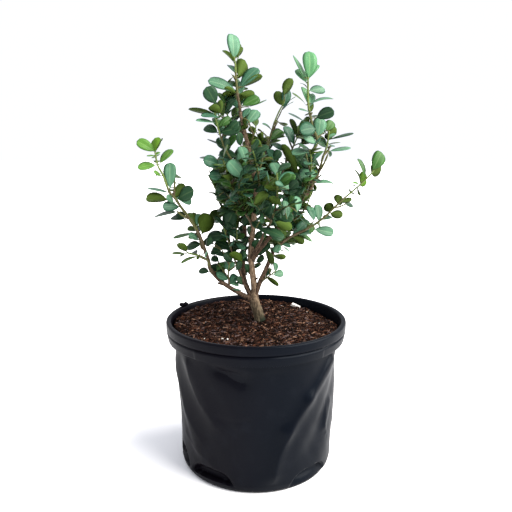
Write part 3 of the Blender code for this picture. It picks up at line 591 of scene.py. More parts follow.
# Chips lie evenly over the bed: most are short and thin, a few long, and a few short ones broad
BED_REACH = 75.0
STREWN_REACH = 74.3
CHIP_LENGTH = 2.2
CHIP_LENGTH_PLAY = 6.8
CHIP_WIDTH = 0.55
CHIP_WIDTH_PLAY = 0.45
CHIP_BROADER = 2.6
CHIP_HEIGHT = 0.45
CHIP_HEIGHT_PLAY = 0.55
CHIP_PITCH = 0.20
CHIP_ROLL = 0.45
CHIP_SINK = 0.5
CHIP_STACKING = (-0.5, 1.0)
chance = np.random.default_rng(11)
chip_reach = STREWN_REACH * np.sqrt(chance.uniform(0.0, 1, CHIP_COUNT))
chip_turn = chance.uniform(0, 2 * math.pi, CHIP_COUNT)
chip_x, chip_y = chip_reach * np.cos(chip_turn), chip_reach * np.sin(chip_turn)
long = chance.uniform(0, 1, CHIP_COUNT) ** 1.8
flat = chance.uniform(0, 1, CHIP_COUNT) ** 4
chip_sizes = np.stack([
    CHIP_LENGTH + CHIP_LENGTH_PLAY * long,
    CHIP_WIDTH + CHIP_WIDTH_PLAY * chance.uniform(0, 1, CHIP_COUNT) + CHIP_BROADER * flat * (1 - 0.5 * long),
    CHIP_HEIGHT + CHIP_HEIGHT_PLAY * chance.uniform(0, 1, CHIP_COUNT),
], axis=-1)
inside = np.hypot(chip_x, chip_y) + chip_sizes[:, 0] / 2
pull = np.minimum(1, (BED_REACH - chip_sizes[:, 0] / 2) / np.maximum(inside - chip_sizes[:, 0] / 2, 1))
chip_x, chip_y = chip_x * pull, chip_y * pull
chip_z = bed_height(chip_x, chip_y) - CHIP_SINK + chance.uniform(*CHIP_STACKING, CHIP_COUNT)
chips = chip_grid(
    np.stack([chip_x, chip_y, chip_z], axis=-1),
    chip_sizes,
    chance.uniform(0, 2 * math.pi, CHIP_COUNT),
    chance.normal(0, CHIP_PITCH, CHIP_COUNT),
    chance.normal(0, CHIP_ROLL, CHIP_COUNT),
)
chip_shade = chance.choice(len(CHIP_SHADES), CHIP_COUNT, p=[share for _, _, share in CHIP_SHADES])
bark_chips = lay_slivers("bark_chips", chips, chip_materials, np.repeat(chip_shade, len(SLIVER_FACES)))
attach(bark_chips, "root")

# Specks of perlite, white grains of puffed rock. Two stand out in front, and one large pale flake of
# wood lies near the back of the pot; the others are strewn at random.
SPECK_COUNT = 18
SPECK_REACH = 72
SPECK_SIZES = (0.45, 1.0)
SPECK_LIFT = 0.35
SPECK_TILT = 0.3
PAIR_PLACES = ((-28.5, -49.0), (-24.0, -49.5))
PAIR_SIZE = (1.6, 1.2, 1.0)
FLAKE_PLACE = (41.0, 57.0)
FLAKE_SIZE = (10.0, 4.2, 2.2)
FLAKE_YAW = -0.45
FLAKE_PITCH = 0.28
PLACED_LIFTS = (0.6, 0.6, 1.0)
white_speck = grained("white_speck", ((0.50, 0.46, 0.42), (0.80, 0.78, 0.74)), 1200, roughness=0.6)
speck_reach = SPECK_REACH * np.sqrt(chance.uniform(0.02, 1, SPECK_COUNT))
speck_turn = chance.uniform(0, 2 * math.pi, SPECK_COUNT)
speck_x, speck_y = speck_reach * np.cos(speck_turn), speck_reach * np.sin(speck_turn)
speck_sizes = chance.uniform(*SPECK_SIZES, (SPECK_COUNT, 3))
speck_places = np.stack([speck_x, speck_y, bed_height(speck_x, speck_y) + SPECK_LIFT], axis=-1)
speck_places[:3, :2] = (*PAIR_PLACES, FLAKE_PLACE)
speck_sizes[:3] = (PAIR_SIZE, PAIR_SIZE, FLAKE_SIZE)
speck_places[:3, 2] = bed_height(speck_places[:3, 0], speck_places[:3, 1]) + PLACED_LIFTS
speck_yaw = chance.uniform(0, 2 * math.pi, SPECK_COUNT)
speck_yaw[2] = FLAKE_YAW
speck_pitch = chance.normal(0, SPECK_TILT, SPECK_COUNT)
speck_pitch[2] = FLAKE_PITCH
speck_roll = chance.normal(0, SPECK_TILT, SPECK_COUNT)
specks = chip_grid(speck_places, speck_sizes, speck_yaw, speck_pitch, speck_roll)
perlite = lay_slivers("perlite_specks", specks, [white_speck])
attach(perlite, "root")

# Trunk and boughs: fine bark over a slender young frame, greyish green at the foot and tan to reddish
# above. Each limb is a tapering tube with its nodes, fissures and flakes in the mesh, and the foot of
# each bough is sunk into the limb that carries it, with a collar round it.
UP = Vector((0, 0, 1))
GAP = 0.3 * MM
LIMB_STEP = 7 * MM
PATH_SAMPLES = 60
TRUNK_FOOT = (3.4 * MM, 6.4 * MM, 130.5 * MM)
Limb = namedtuple("Limb", "parent along rise sideways backwards foot tip")

# A limb grows from its parent's axis, at a share of that limb's length, and rises so many mm, at leans
# in degrees to the right and away from the front, with its radii in mm at the foot and the tip.
LIMBS = {
    "trunk": Limb(None, 0, 23.5, (-6, -20, -11), (-2, -3), 5.0, 4.8),
    "leader": Limb("trunk", 0.8, 171, (1, -9, 6, 6, -7, -15, -11), (-2, -5, -7, -1, 2, 3, -1), 3.1, 1.6),
    "back_stem": Limb("trunk", 0.85, 72, (-38, 8, -5), (21, 8, 9), 2.0, 1.5),
    "left_bough": Limb("trunk", 0.85, 32, (-62, -51, -33), (-28, -30, 2), 2.4, 1.7),
    "inner_bough": Limb("trunk", 0.98, 35, (-42, -17, -22), (-10, -11, -2), 1.3, 1.1),
    "right_bough": Limb("trunk", 0.85, 46, (12, 24, 21), (-4, -9, -6), 2.5, 1.7),
    "upper_right_bough": Limb("leader", 0.22, 69, (30, 43, 33), (-20, -12, 5), 1.9, 1.4),
    "middle_right_bough": Limb("leader", 0.53, 26, (39, 43), (29, 2), 1.4, 1.1),
    "front_bough": Limb("leader", 0.24, 32, (26, 20), (-42, -57), 1.7, 1.3),
    "rear_bough": Limb("leader", 0.33, 29, (16, -17), (54, 54), 1.7, 1.3),
}


def travelled(points):
    """How far along a line of points each of them lies."""
    return np.concatenate([[0], np.cumsum(np.linalg.norm(np.diff(points, axis=0), axis=1))])


def leaning_path(start, rise, sideways, backwards, step):
    """A path that rises so many mm at leans interpolated over the rise: x and y are running sums of the
    leans' tangents. Its points are evenly spaced."""
    heights = np.linspace(0, rise * MM, PATH_SAMPLES)
    columns = []
    for origin, leans in ((start[0], sideways), (start[1], backwards)):
        slopes = np.tan(np.radians(np.interp(heights, np.linspace(0, rise * MM, len(leans)), leans)))
        drift = np.cumsum((slopes[1:] + slopes[:-1]) / 2) * heights[1]
        columns.append(origin + np.concatenate([[0], drift]))
    dense = np.stack([*columns, start[2] + heights], axis=1)
    passed = travelled(dense)
    count = max(3, round(passed[-1] / step) + 1)
    even = np.linspace(0, passed[-1], count)
    return [Vector(point) for point in zip(*(np.interp(even, passed, column) for column in dense.T))]


def path_length(path):
    """How long a path is."""
    return sum((b - a).length for a, b in zip(path, path[1:]))


def walk(path, distance):
    """The point and the direction at a distance along a path."""
    for a, b in zip(path, path[1:]):
        stretch = (b - a).length
        if distance <= stretch:
            return a + (b - a) * (distance / stretch), (b - a).normalized()
        distance -= stretch
    return path[-1].copy(), (path[-1] - path[-2]).normalized()


def limb_path(name):
    """A limb's middle line, from its parent's."""
    limb = LIMBS[name]
    start = TRUNK_FOOT
    if limb.parent:
        parent = limb_path(limb.parent)
        start = walk(parent, limb.along * path_length(parent))[0]
    return leaning_path(start, limb.rise, limb.sideways, limb.backwards, LIMB_STEP)


def smooth_line(path, step):
    """A rounded line through a path's points: cubic pieces whose slopes are the neighbours' differences,
    read at even steps. Also how far along each point is."""
    points = np.array([tuple(point) for point in path])
    knots = travelled(points)
    slopes = np.gradient(points, knots, axis=0)
    count = max(3, int(round(knots[-1] / step)) + 1)
    along = np.linspace(0, knots[-1], count)
    piece = np.clip(np.searchsorted(knots, along, side="right") - 1, 0, len(knots) - 2)
    width = (knots[piece + 1] - knots[piece])[:, None]
    share = (along - knots[piece])[:, None] / width
    a, b = points[piece], points[piece + 1]
    slope_a, slope_b = slopes[piece] * width, slopes[piece + 1] * width
    cubic = (2 * share**3 - 3 * share**2 + 1) * a + (share**3 - 2 * share**2 + share) * slope_a
    cubic += (3 * share**2 - 2 * share**3) * b + (share**3 - share**2) * slope_b
    return cubic, along


def tube_grid(line, radii, sides):
    """Rings of points round a line: radii is rings by sides, or rings by 1, and the side vectors are one
    fixed axis made square to the line's direction."""
    direction = np.gradient(line, axis=0)
    direction /= np.linalg.norm(direction, axis=1, keepdims=True)
    axis = np.eye(3)[np.argmin(np.abs(direction).max(axis=0))]
    side = axis - direction * (direction @ axis)[:, None]
    side /= np.linalg.norm(side, axis=1, keepdims=True)
    other = np.cross(direction, side)
    turn = round_turns(sides)[None, :, None]
    spokes = side[:, None, :] * np.cos(turn) + other[:, None, :] * np.sin(turn)
    return line[:, None, :] + spokes * np.asarray(radii)[..., None]


def closed_tube(line, radii, sides, first=0):
    """Points and faces of a tube with a point at each end, numbered from first."""
    points = np.concatenate([line[:1], line[-1:], tube_grid(line, radii, sides).reshape(-1, 3)])
    return points, closed_faces(len(line), sides, first)


SCAR_SPACING = 11
SCAR_REACH = 0.9
TRUNK_FLARE = (0.2, 0.9)
FLARE_REACH = 3.6
COLLAR_RISE = 0.22
COLLAR_REACH = 2.4
BARK_STEP = 0.7 * MM


def bark_relief(along, turn, radius, seed):
    """How far the bark stands out, in mm, at a distance along the limb and an angle round it: sharp-edged
    waves stretched along the limb make fissures, short ones make flakes, and a pair of swellings on
    crossed sides at each old pair of leaves are the leaf scars."""
    phase = np.random.default_rng(seed).uniform(0, 2 * math.pi, 8)
    fissures = np.abs(np.sin(3 * turn + along / 2.6 + phase[0] + 0.8 * np.sin(along / 1.9 + phase[1])))
    flakes = np.sin(7 * turn + along / 1.7 + phase[2]) * np.sin(along / 1.1 + phase[3])
    fine = np.sin(13 * turn - along / 0.8 + phase[4]) * np.sin(5 * turn + along / 0.6 + phase[5])
    node = (along + SCAR_SPACING * phase[6] / 6) / SCAR_SPACING
    crossed = np.cos(2 * (turn + math.pi / 2 * np.floor(node)))
    scars = np.exp(-(((node % 1) - 0.5) * SCAR_SPACING / SCAR_REACH) ** 2) * (0.5 + 0.5 * crossed)
    swell = 0.35 * np.sin(along / 9 + phase[7])
    scale = np.minimum(radius / 3, 1.3)
    return scale * (0.16 * fissures + 0.07 * flakes + 0.04 * fine + 0.30 * scars + 0.12 * swell - 0.1)


def bark_limb(name, seed, sides):
    """One limb of bark, as arrays: its line, and its radii with the taper, the foot's collar and relief."""
    limb = LIMBS[name]
    line, along = smooth_line(limb_path(name), BARK_STEP)
    along = along[:, None] / MM
    share = along / along[-1]
    turn = round_turns(sides)[None, :]
    radius = limb.foot + (limb.tip - limb.foot) * share
    if name == "trunk":
        buttress = 0.5 + 0.5 * np.sin(3 * turn - 0.5)
        flare = TRUNK_FLARE[0] + TRUNK_FLARE[1] * buttress
        radius = radius - 0.25 + flare * np.exp(-along / FLARE_REACH)
    else:
        out = (along - LIMBS[limb.parent].foot) / COLLAR_REACH
        radius = radius * (1 + COLLAR_RISE * np.exp(-(out**2)))
    return line, (radius + bark_relief(along, turn, radius, seed)) * MM


TAN_BROWNS = ((0.050, 0.032, 0.021), (0.290, 0.202, 0.132))
RED_BROWNS = ((0.060, 0.038, 0.024), (0.300, 0.210, 0.135))
GREY_GREENS = ((0.026, 0.020, 0.012), (0.125, 0.100, 0.062))
MOSS = (0.008, 0.012, 0.006)
bark, bark_shader, shade = new_finish("bark", roughness=0.75, specular=0.1)
place = object_place(shade)
height = one_axis(place, 2)
grain = cloud(shade, object_place(shade, (1, 1, 0.28)), 900, detail=5, roughness=0.62)
blotch = cloud(shade, place, 130, detail=3)
tan = grain.between(0.3, 0.72).mixed(*TAN_BROWNS)
red = grain.between(0.3, 0.75).mixed(*RED_BROWNS)
grey_green = grain.between(0.3, 0.7).mixed(*GREY_GREENS)
upper = blotch.between(0.42, 0.62).mixed(tan, red)
clean = (height + blotch * 0.02).between(0.143, 0.178).mixed(grey_green, upper)
low = 1 - (height + blotch * 0.006).between(0.136, 0.143)
mossy = (one_axis(place, 0) + blotch * 0.003).between(0.0035, 0.0065) * low
feed(bark_shader, "Base Color", mossy.mixed(clean, MOSS))
feed(bark_shader, "Roughness", 0.62 + grain * 0.25)
feed(bark_shader, "Normal", bumped(shade, grain, 0.00035, 0.9))
# Painted shade: the boughs inside the crown, and the pruned stubs, wear a darker copy of the bark's browns.
SHADE_DARKENED_BROWNS = ((0.020, 0.012, 0.008), (0.125, 0.080, 0.052))
shade_darkened_skin = {"stretch": (1, 1, 0.35), "detail": 5, "grit": 0.62, "relief": (0.00035, 0.9)}
shade_darkened_bark = grained("shade_darkened_bark", SHADE_DARKENED_BROWNS, 900, (0.3, 0.72), **shade_darkened_skin, roughness=0.75, specular=0.1)
TRUNK_SIDES = 40
LIMB_SIDES = 26
PALE_LIMBS = ("trunk", "leader")
STOUTER = {"back_stem": 1.25}
for seed, limb_name in enumerate(LIMBS):
    sides = TRUNK_SIDES if limb_name == "trunk" else LIMB_SIDES
    line, radii = bark_limb(limb_name, seed, sides)
    points, faces = closed_tube(line, radii * STOUTER.get(limb_name, 1), sides)
    # Limbs other than the trunk and the leader take the bark darkened as painted shade.
    limb_skin = bark if limb_name in PALE_LIMBS else shade_darkened_bark
    limb_bark = lay_mesh(limb_name + "_bark", points, faces, [limb_skin])
    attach(limb_bark, "root")
    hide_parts(limb_name)

# Short stubs where shoots were pruned off: the limb, the share of its length, the heading, and the
# length and radius in mm
STUBS = (
    ("left_bough", 0.62, (-0.9, -0.3, 0.25), 6.5, 1.15),
    ("leader", 0.12, (0.7, -0.6, 0.5), 3.5, 0.8),
    ("leader", 0.34, (-0.6, -0.7, 0.45), 3.2, 0.7),
    ("upper_right_bough", 0.35, (0.2, -0.7, 0.8), 4.0, 0.6),
)
STUB_SIDES = 14
stub_points, stub_faces = [], []
for limb_name, share, heading, length, radius in STUBS:
    path = limb_path(limb_name)
    foot = walk(path, share * path_length(path))[0]
    tip = foot + Vector(heading).normalized() * (length + LIMBS[limb_name].foot * (1 - share)) * MM
    line, along = smooth_line([foot, (foot + tip) / 2, tip], 0.5 * MM)
    taper = radius * (1.25 - 0.4 * along / along[-1])[:, None] * MM
    taper = np.repeat(taper, STUB_SIDES, axis=1)
    points, faces = closed_tube(line, taper, STUB_SIDES, sum(len(p) for p in stub_points))
    stub_points.append(points)
    stub_faces += faces
# The stubs wear the bark darkened as painted shade.
stubs = lay_mesh("pruned_stubs", np.concatenate(stub_points), stub_faces, [shade_darkened_bark], sharp=50)
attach(stubs, "root")

# The crown. Shoots grow from the boughs' tips and sides, bear twigs by the golden angle and leaves in
# crossed pairs. A leaf that would touch anything that grew before it is tried smaller, then left out.
LEAF_LENGTH = 21.0 * MM
LEAF_WIDTH_SHARE = 0.56
LEAF_RIDGE_SHARE = 0.05
LEAF_SIZES = (0.86, 1.08)
LEAF_FOOT_SIZE = 1.02
LEAF_TAPER = 0.08
PAIR_SPACING = 10.5 * MM
PAIR_PLAY = (0.85, 1.1)
PAIR_TURN_PLAY = 12
TWIG_BARE = 0.6
PAIR_SPLAY = (48, 66)
TIP_PAIR_SPLAY = (36, 48)
TIP_LEAF_SPLAY = (2, 10)
TIP_MARGIN = 0.35
TIP_PAIR_BACK = 2 * MM
TIP_LEAF_BACK = 0.5 * MM
LEAF_TWIST = 28
CLEARANCE = 0.2 * MM
REACH = 44 * MM
TILT_SPLAY = 0.6
LEAF_TRIES = ((1, 0), (0.92, -0.22), (0.86, 0.25), (0.75, 0), (0.8, 0.5), (0.62, -0.4))
TWIG_RADIUS = 0.9 * MM
TWIG_TIP_RADIUS = 0.6 * MM
STEM_THICKENING = 0.005
TWIG_ZONE = (0.12, 0.74)
GOLDEN_ANGLE = 137.5
TWIG_TRIES = 6
TWIG_TRY_TURN = 75
TWIG_TURN_PLAY = 30
TWIG_SHORTENING = 0.35
TWIG_LENGTHS = (0.8, 1.1)
TWIG_CLEARANCE = 1.2 * MM
SHOOT_STEP = 10 * MM
TWIG_ONWARD = 0.75
TWIG_OUTWARD = 0.9
TWIG_RISE = 0.2
TWIG_WANDER = 0.1
UPRIGHT = 0.05
LEVELLING = 0.35
FACE_UP = 0.45
FACE_OUT = 1.25
CROWN_MIDDLE = 22 * MM
CROWN_DEPTH = 25 * MM
Mass = namedtuple("Mass", "limb along rise sideways backwards twigs twig_length leaf bare seed")

# A mass: its limb and the share of its length, the stem's rise and leans, the number of side twigs and
# the longest one's length in mm, the share of a full leaf's length, the bare start in mm and the seed.
MASSES = {
    "left_arm": Mass("left_bough", 1, 97, (-10, -22, -35, -32, -20), (-6, -5, -3), 3, 22, 1, 5, 37),
    "left_sprig": Mass("left_bough", 0.85, 19, (-35, -61), (-30, -26), 1, 14, 0.6, 9, 2),
    "left_low": Mass("left_bough", 0.53, 32, (-9, 20), (-20, -7), 3, 18, 0.9, 5, 3),
    "low_left": Mass("leader", 0.24, 28, (-50, 6), (-39, 0), 2, 16, 0.95, 5, 25),
    "inner_left": Mass("inner_bough", 1, 41, (-18, -18), (-3, -5), 2, 20, 1, 4, 4),
    "middle_left": Mass("leader", 0.42, 59, (-32, -22, -17), (-36, -17, -3), 3, 26, 1, 8, 5),
    "rear_left": Mass("back_stem", 1, 46, (-23, -52, -2), (9, -15, 6), 3, 26, 1, 4, 6),
    "upper_left": Mass("leader", 0.65, 61, (-57, -21, -8), (-25, -10, 4), 3, 20, 0.95, 9, 7),
    "crown_top": Mass("leader", 1, 49, (-7, -9), (0, 0), 2, 15, 1, 2, 34),
    "crown_left": Mass("leader", 0.88, 24, (-57, -13), (34, 2), 2, 16, 0.95, 6, 9),
    "crown_right": Mass("leader", 0.82, 35, (27, -1), (-34, 4), 2, 18, 0.95, 6, 10),
    "centre_top": Mass("leader", 0.7, 60, (40, 12, 32), (28, -1, 1), 2, 18, 0.9, 9, 32),
    "centre_right": Mass("middle_right_bough", 1, 36, (25, 22), (-6, -4), 3, 22, 0.95, 3, 12),
    "right_leader": Mass("upper_right_bough", 1, 98, (31, 16, -12, -37, 0, 14), (0, 3), 3, 20, 0.98, 6, 31),
    "right_spray": Mass("upper_right_bough", 0.92, 50, (33, 30, 37), (29, 11, 7), 2, 20, 0.95, 9, 14),
    "right_front": Mass("upper_right_bough", 0.73, 53, (36, 6, -8), (-40, -26, -6), 3, 22, 1, 8, 15),
    "right_side": Mass("upper_right_bough", 0.48, 36, (64, 31, 1), (-62, -17, -12), 2, 20, 0.95, 7, 16),
    "right_arm": Mass("right_bough", 1, 75, (32, 66, 42, 50, 39), (-5, -6, -3), 2, 20, 0.92, 7, 34),
    "right_low": Mass("right_bough", 0.4, 20, (62, 20), (-45, 1), 2, 14, 0.8, 4, 18),
    "front_low": Mass("front_bough", 1, 50, (24, -9), (-54, -10), 3, 24, 1, 4, 19),
    "front_middle": Mass("leader", 0.48, 57, (20, -4, -18), (-49, -33, -19), 3, 24, 1, 8, 20),
    "rear_low": Mass("rear_bough", 1, 50, (-11, 20), (51, 8), 3, 24, 1, 4, 21),
    "rear_middle": Mass("leader", 0.57, 53, (22, 6, -21), (58, 35, 13), 3, 24, 1, 8, 22),
    "rear_right": Mass("right_bough", 0.67, 81, (28, 30, 8), (45, 30, 4), 3, 24, 1, 12, 23),
    "rear_corner": Mass("back_stem", 0.82, 51, (-44, -30, -3), (55, 27, 14), 3, 24, 1, 8, 24),
}


class Crowd:
    """All that has grown so far: each solid's owner, its box and a tree that finds what it touches."""

    def __init__(self):
        self.owners = []
        self.lows = np.zeros((0, 3))
        self.highs = np.zeros((0, 3))
        self.trees = []

    def add(self, owner, points, faces):
        corners = np.array([tuple(point) for point in points])
        self.owners.append(owner)
        self.lows = np.vstack([self.lows, corners.min(axis=0)])
        self.highs = np.vstack([self.highs, corners.max(axis=0)])
        self.trees.append(BVHTree.FromPolygons([tuple(point) for point in corners], faces))

    def touches(self, points, faces, skip=()):
        corners = np.array([tuple(point) for point in points])
        above = (self.highs >= corners.min(axis=0)).all(axis=1)
        near = above & (self.lows <= corners.max(axis=0)).all(axis=1)
        tree = None
        for i in np.nonzero(near)[0]:
            if self.owners[i] in skip:
                continue
            tree = tree or BVHTree.FromPolygons([tuple(point) for point in corners], faces)
            if tree.overlap(self.trees[i]):
                return True
        return False


# The limbs, the mulch and the pot are there before anything grows
crowd = Crowd()
for node_name in [*LIMBS, "mulch", "pot"]:
    node_mesh = frame["nodes"][node_name].data
    node_points = [vert.co.copy() for vert in node_mesh.vertices]
    crowd.add(node_name, node_points, [tuple(face.vertices) for face in node_mesh.polygons])


def plain_tube(path, foot_radius, tip_radius):
    """A three-sided tapering tube with flat ends, the space that a shoot takes."""
    last = len(path) - 1
    side = UP.orthogonal()
    points = []
    for i, point in enumerate(path):
        tangent = (path[min(i + 1, last)] - path[max(i - 1, 0)]).normalized()
        side = (side - tangent * side.dot(tangent)).normalized()
        other = tangent.cross(side)
        radius = foot_radius + (tip_radius - foot_radius) * i / last
        turns = [2 * math.pi * k / 3 for k in range(3)]
        points += [tuple(point + radius * (side * math.cos(a) + other * math.sin(a))) for a in turns]
    faces = [(0, 1, 2), tuple(range(3 * last, 3 * last + 3))]
    for low in range(0, 3 * last, 3):
        faces += [(low + i, low + (i + 1) % 3, low + 3 + (i + 1) % 3, low + 3 + i) for i in range(3)]
    return points, faces


# The box round a leaf: how many mm of its root stay out, where it is broadest, and its ends' widths. The
# blade itself: two corners as shares of its length and width, its ridge's top, and its root in mm.
FREE_ROOT = 2.2
BOX_MIDDLE = 0.52
BOX_FOOT = 0.3
BOX_TIP = 0.5
BLADE_CORNERS = ((0.54, 0.5), (0.95, 0.3))
RIDGE_PLACE = 0.55
BLADE_ROOT = 0.2


def leaf_space(root, along, face, length, width):
    """The space that a leaf needs: a flat six-cornered box round its blade, without the root."""
    across = along.cross(face) * (width / 2 + CLEARANCE)
    near = root + along * FREE_ROOT * MM
    middle = root + along * BOX_MIDDLE * length
    tip = root + along * (length + CLEARANCE)
    points = []
    for lift in (-face * CLEARANCE, face * (LEAF_RIDGE_SHARE * length + CLEARANCE)):
        points += [near + across * BOX_FOOT + lift, middle + across + lift, tip + across * BOX_TIP + lift]
        points += [tip - across * BOX_TIP + lift, middle - across + lift, near - across * BOX_FOOT + lift]
    faces = [tuple(range(6)), tuple(range(6, 12))]
    faces += [(i, (i + 1) % 6, 6 + (i + 1) % 6, 6 + i) for i in range(6)]
    return points, faces


def leaf_body(root, along, face, length, width):
    """What a leaf fills once it has grown: a five-cornered blade with a ridge on top."""
    across = along.cross(face)
    corners = [(x * length, y * width) for x, y in BLADE_CORNERS]
    points = [root - along * BLADE_ROOT * MM]
    points += [root + along * x + across * y for x, y in corners]
    points += [root + along * x - across * y for x, y in corners[::-1]]
    points.append(root + along * RIDGE_PLACE * length + face * length * LEAF_RIDGE_SHARE)
    faces = [(0, 1, 4), (1, 2, 3), (1, 3, 4)]
    faces += [(i, (i + 1) % 5, 5) for i in range(5)]
    return points, faces


def bark_gap(point, path, limb):
    """How far a point lies outside a limb's bark."""
    gaps = []
    for i, (a, b) in enumerate(zip(path, path[1:])):
        share = max(0, min(1, (point - a).dot(b - a) / (b - a).length_squared))
        radius = limb.foot + (limb.tip - limb.foot) * (i + share) / (len(path) - 1)
        gaps.append((point - a.lerp(b, share)).length - radius * MM)
    return min(gaps)


def stem_radius(path):
    """A longer stem is thicker at its foot."""
    return TWIG_RADIUS + STEM_THICKENING * path_length(path)


def stem_path(name):
    """A mass's stem: on from its limb's tip, or out of the limb's side where it clears the bark."""
    mass = MASSES[name]
    limb_line = limb_path(mass.limb)
    root, heading = walk(limb_line, mass.along * path_length(limb_line))
    path = leaning_path(root, mass.rise, mass.sideways, mass.backwards, SHOOT_STEP)
    onward = (path[1] - path[0]).normalized()
    if mass.along == 1:
        foot = root + heading * (GAP + stem_radius(path) * onward.cross(heading).length)
        return [foot] + path[1:]
    start = GAP
    while True:
        foot = root + onward * start
        ring = plain_tube([foot, foot + onward * MM], stem_radius(path), stem_radius(path))[0][:3]
        corners = [Vector(point) for point in ring]
        edges = [(corners[i] + corners[i - 1]) / 2 for i in range(3)]
        if min(bark_gap(point, limb_line, LIMBS[mass.limb]) for point in corners + edges) >= GAP:
            return [foot] + [point for point in path if (point - root).length > start + SHOOT_STEP / 2]
        start += GAP / 3


def bearing(tangent, turn):
    """A direction square to a shoot, turned round it by an angle from its upper side."""
    level = tangent.cross(UP)
    level = level.normalized() if level.length > UPRIGHT else Vector((1, 0, 0))
    other = level.cross(tangent)
    return other * math.cos(turn) + level * math.sin(turn)


def twig_path(root, tangent, turn, length, dice):
    """A side twig: it leaves its stem at an angle and bends slowly towards the light."""
    heading = (tangent * TWIG_ONWARD + bearing(tangent, turn) * TWIG_OUTWARD).normalized()
    path = [root]
    count = max(2, round(length / SHOOT_STEP))
    for _ in range(count):
        jitter = Vector([dice.uniform(-1, 1) for _ in range(3)])
        heading = (heading + UP * TWIG_RISE + jitter * TWIG_WANDER).normalized()
        path.append(path[-1] + heading * (length / count))
    return path


def grow_twigs(name, stem, dice):
    """The side twigs of a mass, spread along its stem. One that would touch a neighbour is left out."""
    mass = MASSES[name]
    twigs = []
    for k in range(mass.twigs):
        share = np.interp((k + 0.5) / mass.twigs, (0, 1), TWIG_ZONE)
        root, tangent = walk(stem, share * path_length(stem))
        first_turn = math.radians(90 + GOLDEN_ANGLE * k + dice.uniform(-TWIG_TURN_PLAY, TWIG_TURN_PLAY))
        length = mass.twig_length * MM * (1 - TWIG_SHORTENING * share) * dice.uniform(*TWIG_LENGTHS)
        for attempt in range(TWIG_TRIES):
            turn = first_turn + attempt * math.radians(TWIG_TRY_TURN)
            path = twig_path(root, tangent, turn, length, dice)
            space = plain_tube(path, TWIG_RADIUS + TWIG_CLEARANCE, TWIG_RADIUS + TWIG_CLEARANCE)
            if not crowd.touches(*space, skip=(name + " wood",)):
                twigs.append(path)
                crowd.add(name + " wood", *plain_tube(path, TWIG_RADIUS, TWIG_TIP_RADIUS))
                break
    return twigs


def leaf_places(shoot, bare, dice):
    """Where a shoot's leaves stand: crossed pairs along it, then a pair and one upright leaf at its tip."""
    length = path_length(shoot)
    distance = bare
    turn = dice.uniform(0, math.pi)
    places = []
    while distance < length - TIP_MARGIN * PAIR_SPACING:
        places.append((distance, turn, math.radians(dice.uniform(*PAIR_SPLAY)), (0, math.pi)))
        distance += PAIR_SPACING * dice.uniform(*PAIR_PLAY)
        turn += math.pi / 2 + math.radians(dice.uniform(-PAIR_TURN_PLAY, PAIR_TURN_PLAY))
    pair_splay = math.radians(dice.uniform(*TIP_PAIR_SPLAY))
    places.append((length - TIP_PAIR_BACK, turn, pair_splay, (0, math.pi)))
    leaf_splay = math.radians(dice.uniform(*TIP_LEAF_SPLAY))
    places.append((length - TIP_LEAF_BACK, turn + math.pi / 2, leaf_splay, (0,)))
    return places


def leaf_frame(root, tangent, turn, splay):
    """The direction of a leaf and of its upper face, which turns up and outwards to the light."""
    side = bearing(tangent, turn)
    level = side - UP * side.dot(UP) * LEVELLING
    side = (level - tangent * level.dot(tangent)).normalized()
    along = (tangent * math.cos(splay) + side * math.sin(splay)).normalized()
    outwards = max(-1, min(1, (root.y - CROWN_MIDDLE) / CROWN_DEPTH))
    face = tangent * math.sin(splay) - side * math.cos(splay) + UP * FACE_UP
    face += Vector((0, outwards * FACE_OUT, 0))
    face = (face - along * face.dot(along)).normalized()
    return along, face


Leaf = namedtuple("Leaf", "mass spray root along face length width tint")
Shoot = namedtuple("Shoot", "mass number path foot tip rank")

# What stands out against the sky is listed from the photograph, whose sight lines start at the camera:
# places are given across and down the picture, and the shoot that carries them gives the depth.
PICTURE_SIDE = 512
SIGHT_BACK_COST = 0.20
SEEN_TWIG_SHARE = 0.8
SIGHT_TURN = camera.rotation_euler.to_matrix()
SIGHT_RIGHT, SIGHT_UP, SIGHT_BACK = (SIGHT_TURN @ Vector(axis) for axis in ((1, 0, 0), (0, 1, 0), (0, 0, 1)))
SIGHT_SCALE = PICTURE_SIDE * LENS / SENSOR_WIDTH


def sight(x, y, depth):
    """The point on the sight line through a place of the picture, so far in front of the camera."""
    x_lean = (x - PICTURE_SIDE / 2) / SIGHT_SCALE
    y_lean = (PICTURE_SIDE / 2 - y) / SIGHT_SCALE
    return camera.location + (SIGHT_RIGHT * x_lean + SIGHT_UP * y_lean - SIGHT_BACK) * depth


def seen(point):
    """Where the camera sees a point: across and down the picture, and how far in front."""
    offset = point - camera.location
    depth = -offset.dot(SIGHT_BACK)
    x = PICTURE_SIDE / 2 + SIGHT_SCALE * offset.dot(SIGHT_RIGHT) / depth
    y = PICTURE_SIDE / 2 - SIGHT_SCALE * offset.dot(SIGHT_UP) / depth
    return x, y, depth


# Stems that the photograph shows bare between their leaves: places along them from the foot to the tip
SEEN_STEMS = {
    "left_arm": (
        (209, 262), (205, 250), (198, 232), (187, 215), (181, 207), (174, 197), (170, 193), (167, 186),
        (163, 175), (158, 166), (155, 152),
    ),
    "left_sprig": ((207, 260), (200, 256), (194, 254.5), (187, 252.5)),
    "crown_top": ((240, 108), (239, 103), (237, 90), (236, 78), (235, 62), (234, 56)),
    "right_leader": (
        (311, 178), (311, 165), (312, 152), (316, 145), (317, 138), (313, 130), (311, 119), (309, 110),
        (308, 100), (308, 90), (308, 80), (308, 72),
    ),
    "right_spray": ((315, 181), (320, 168), (323, 157), (326, 149), (328, 140), (329, 131)),
}
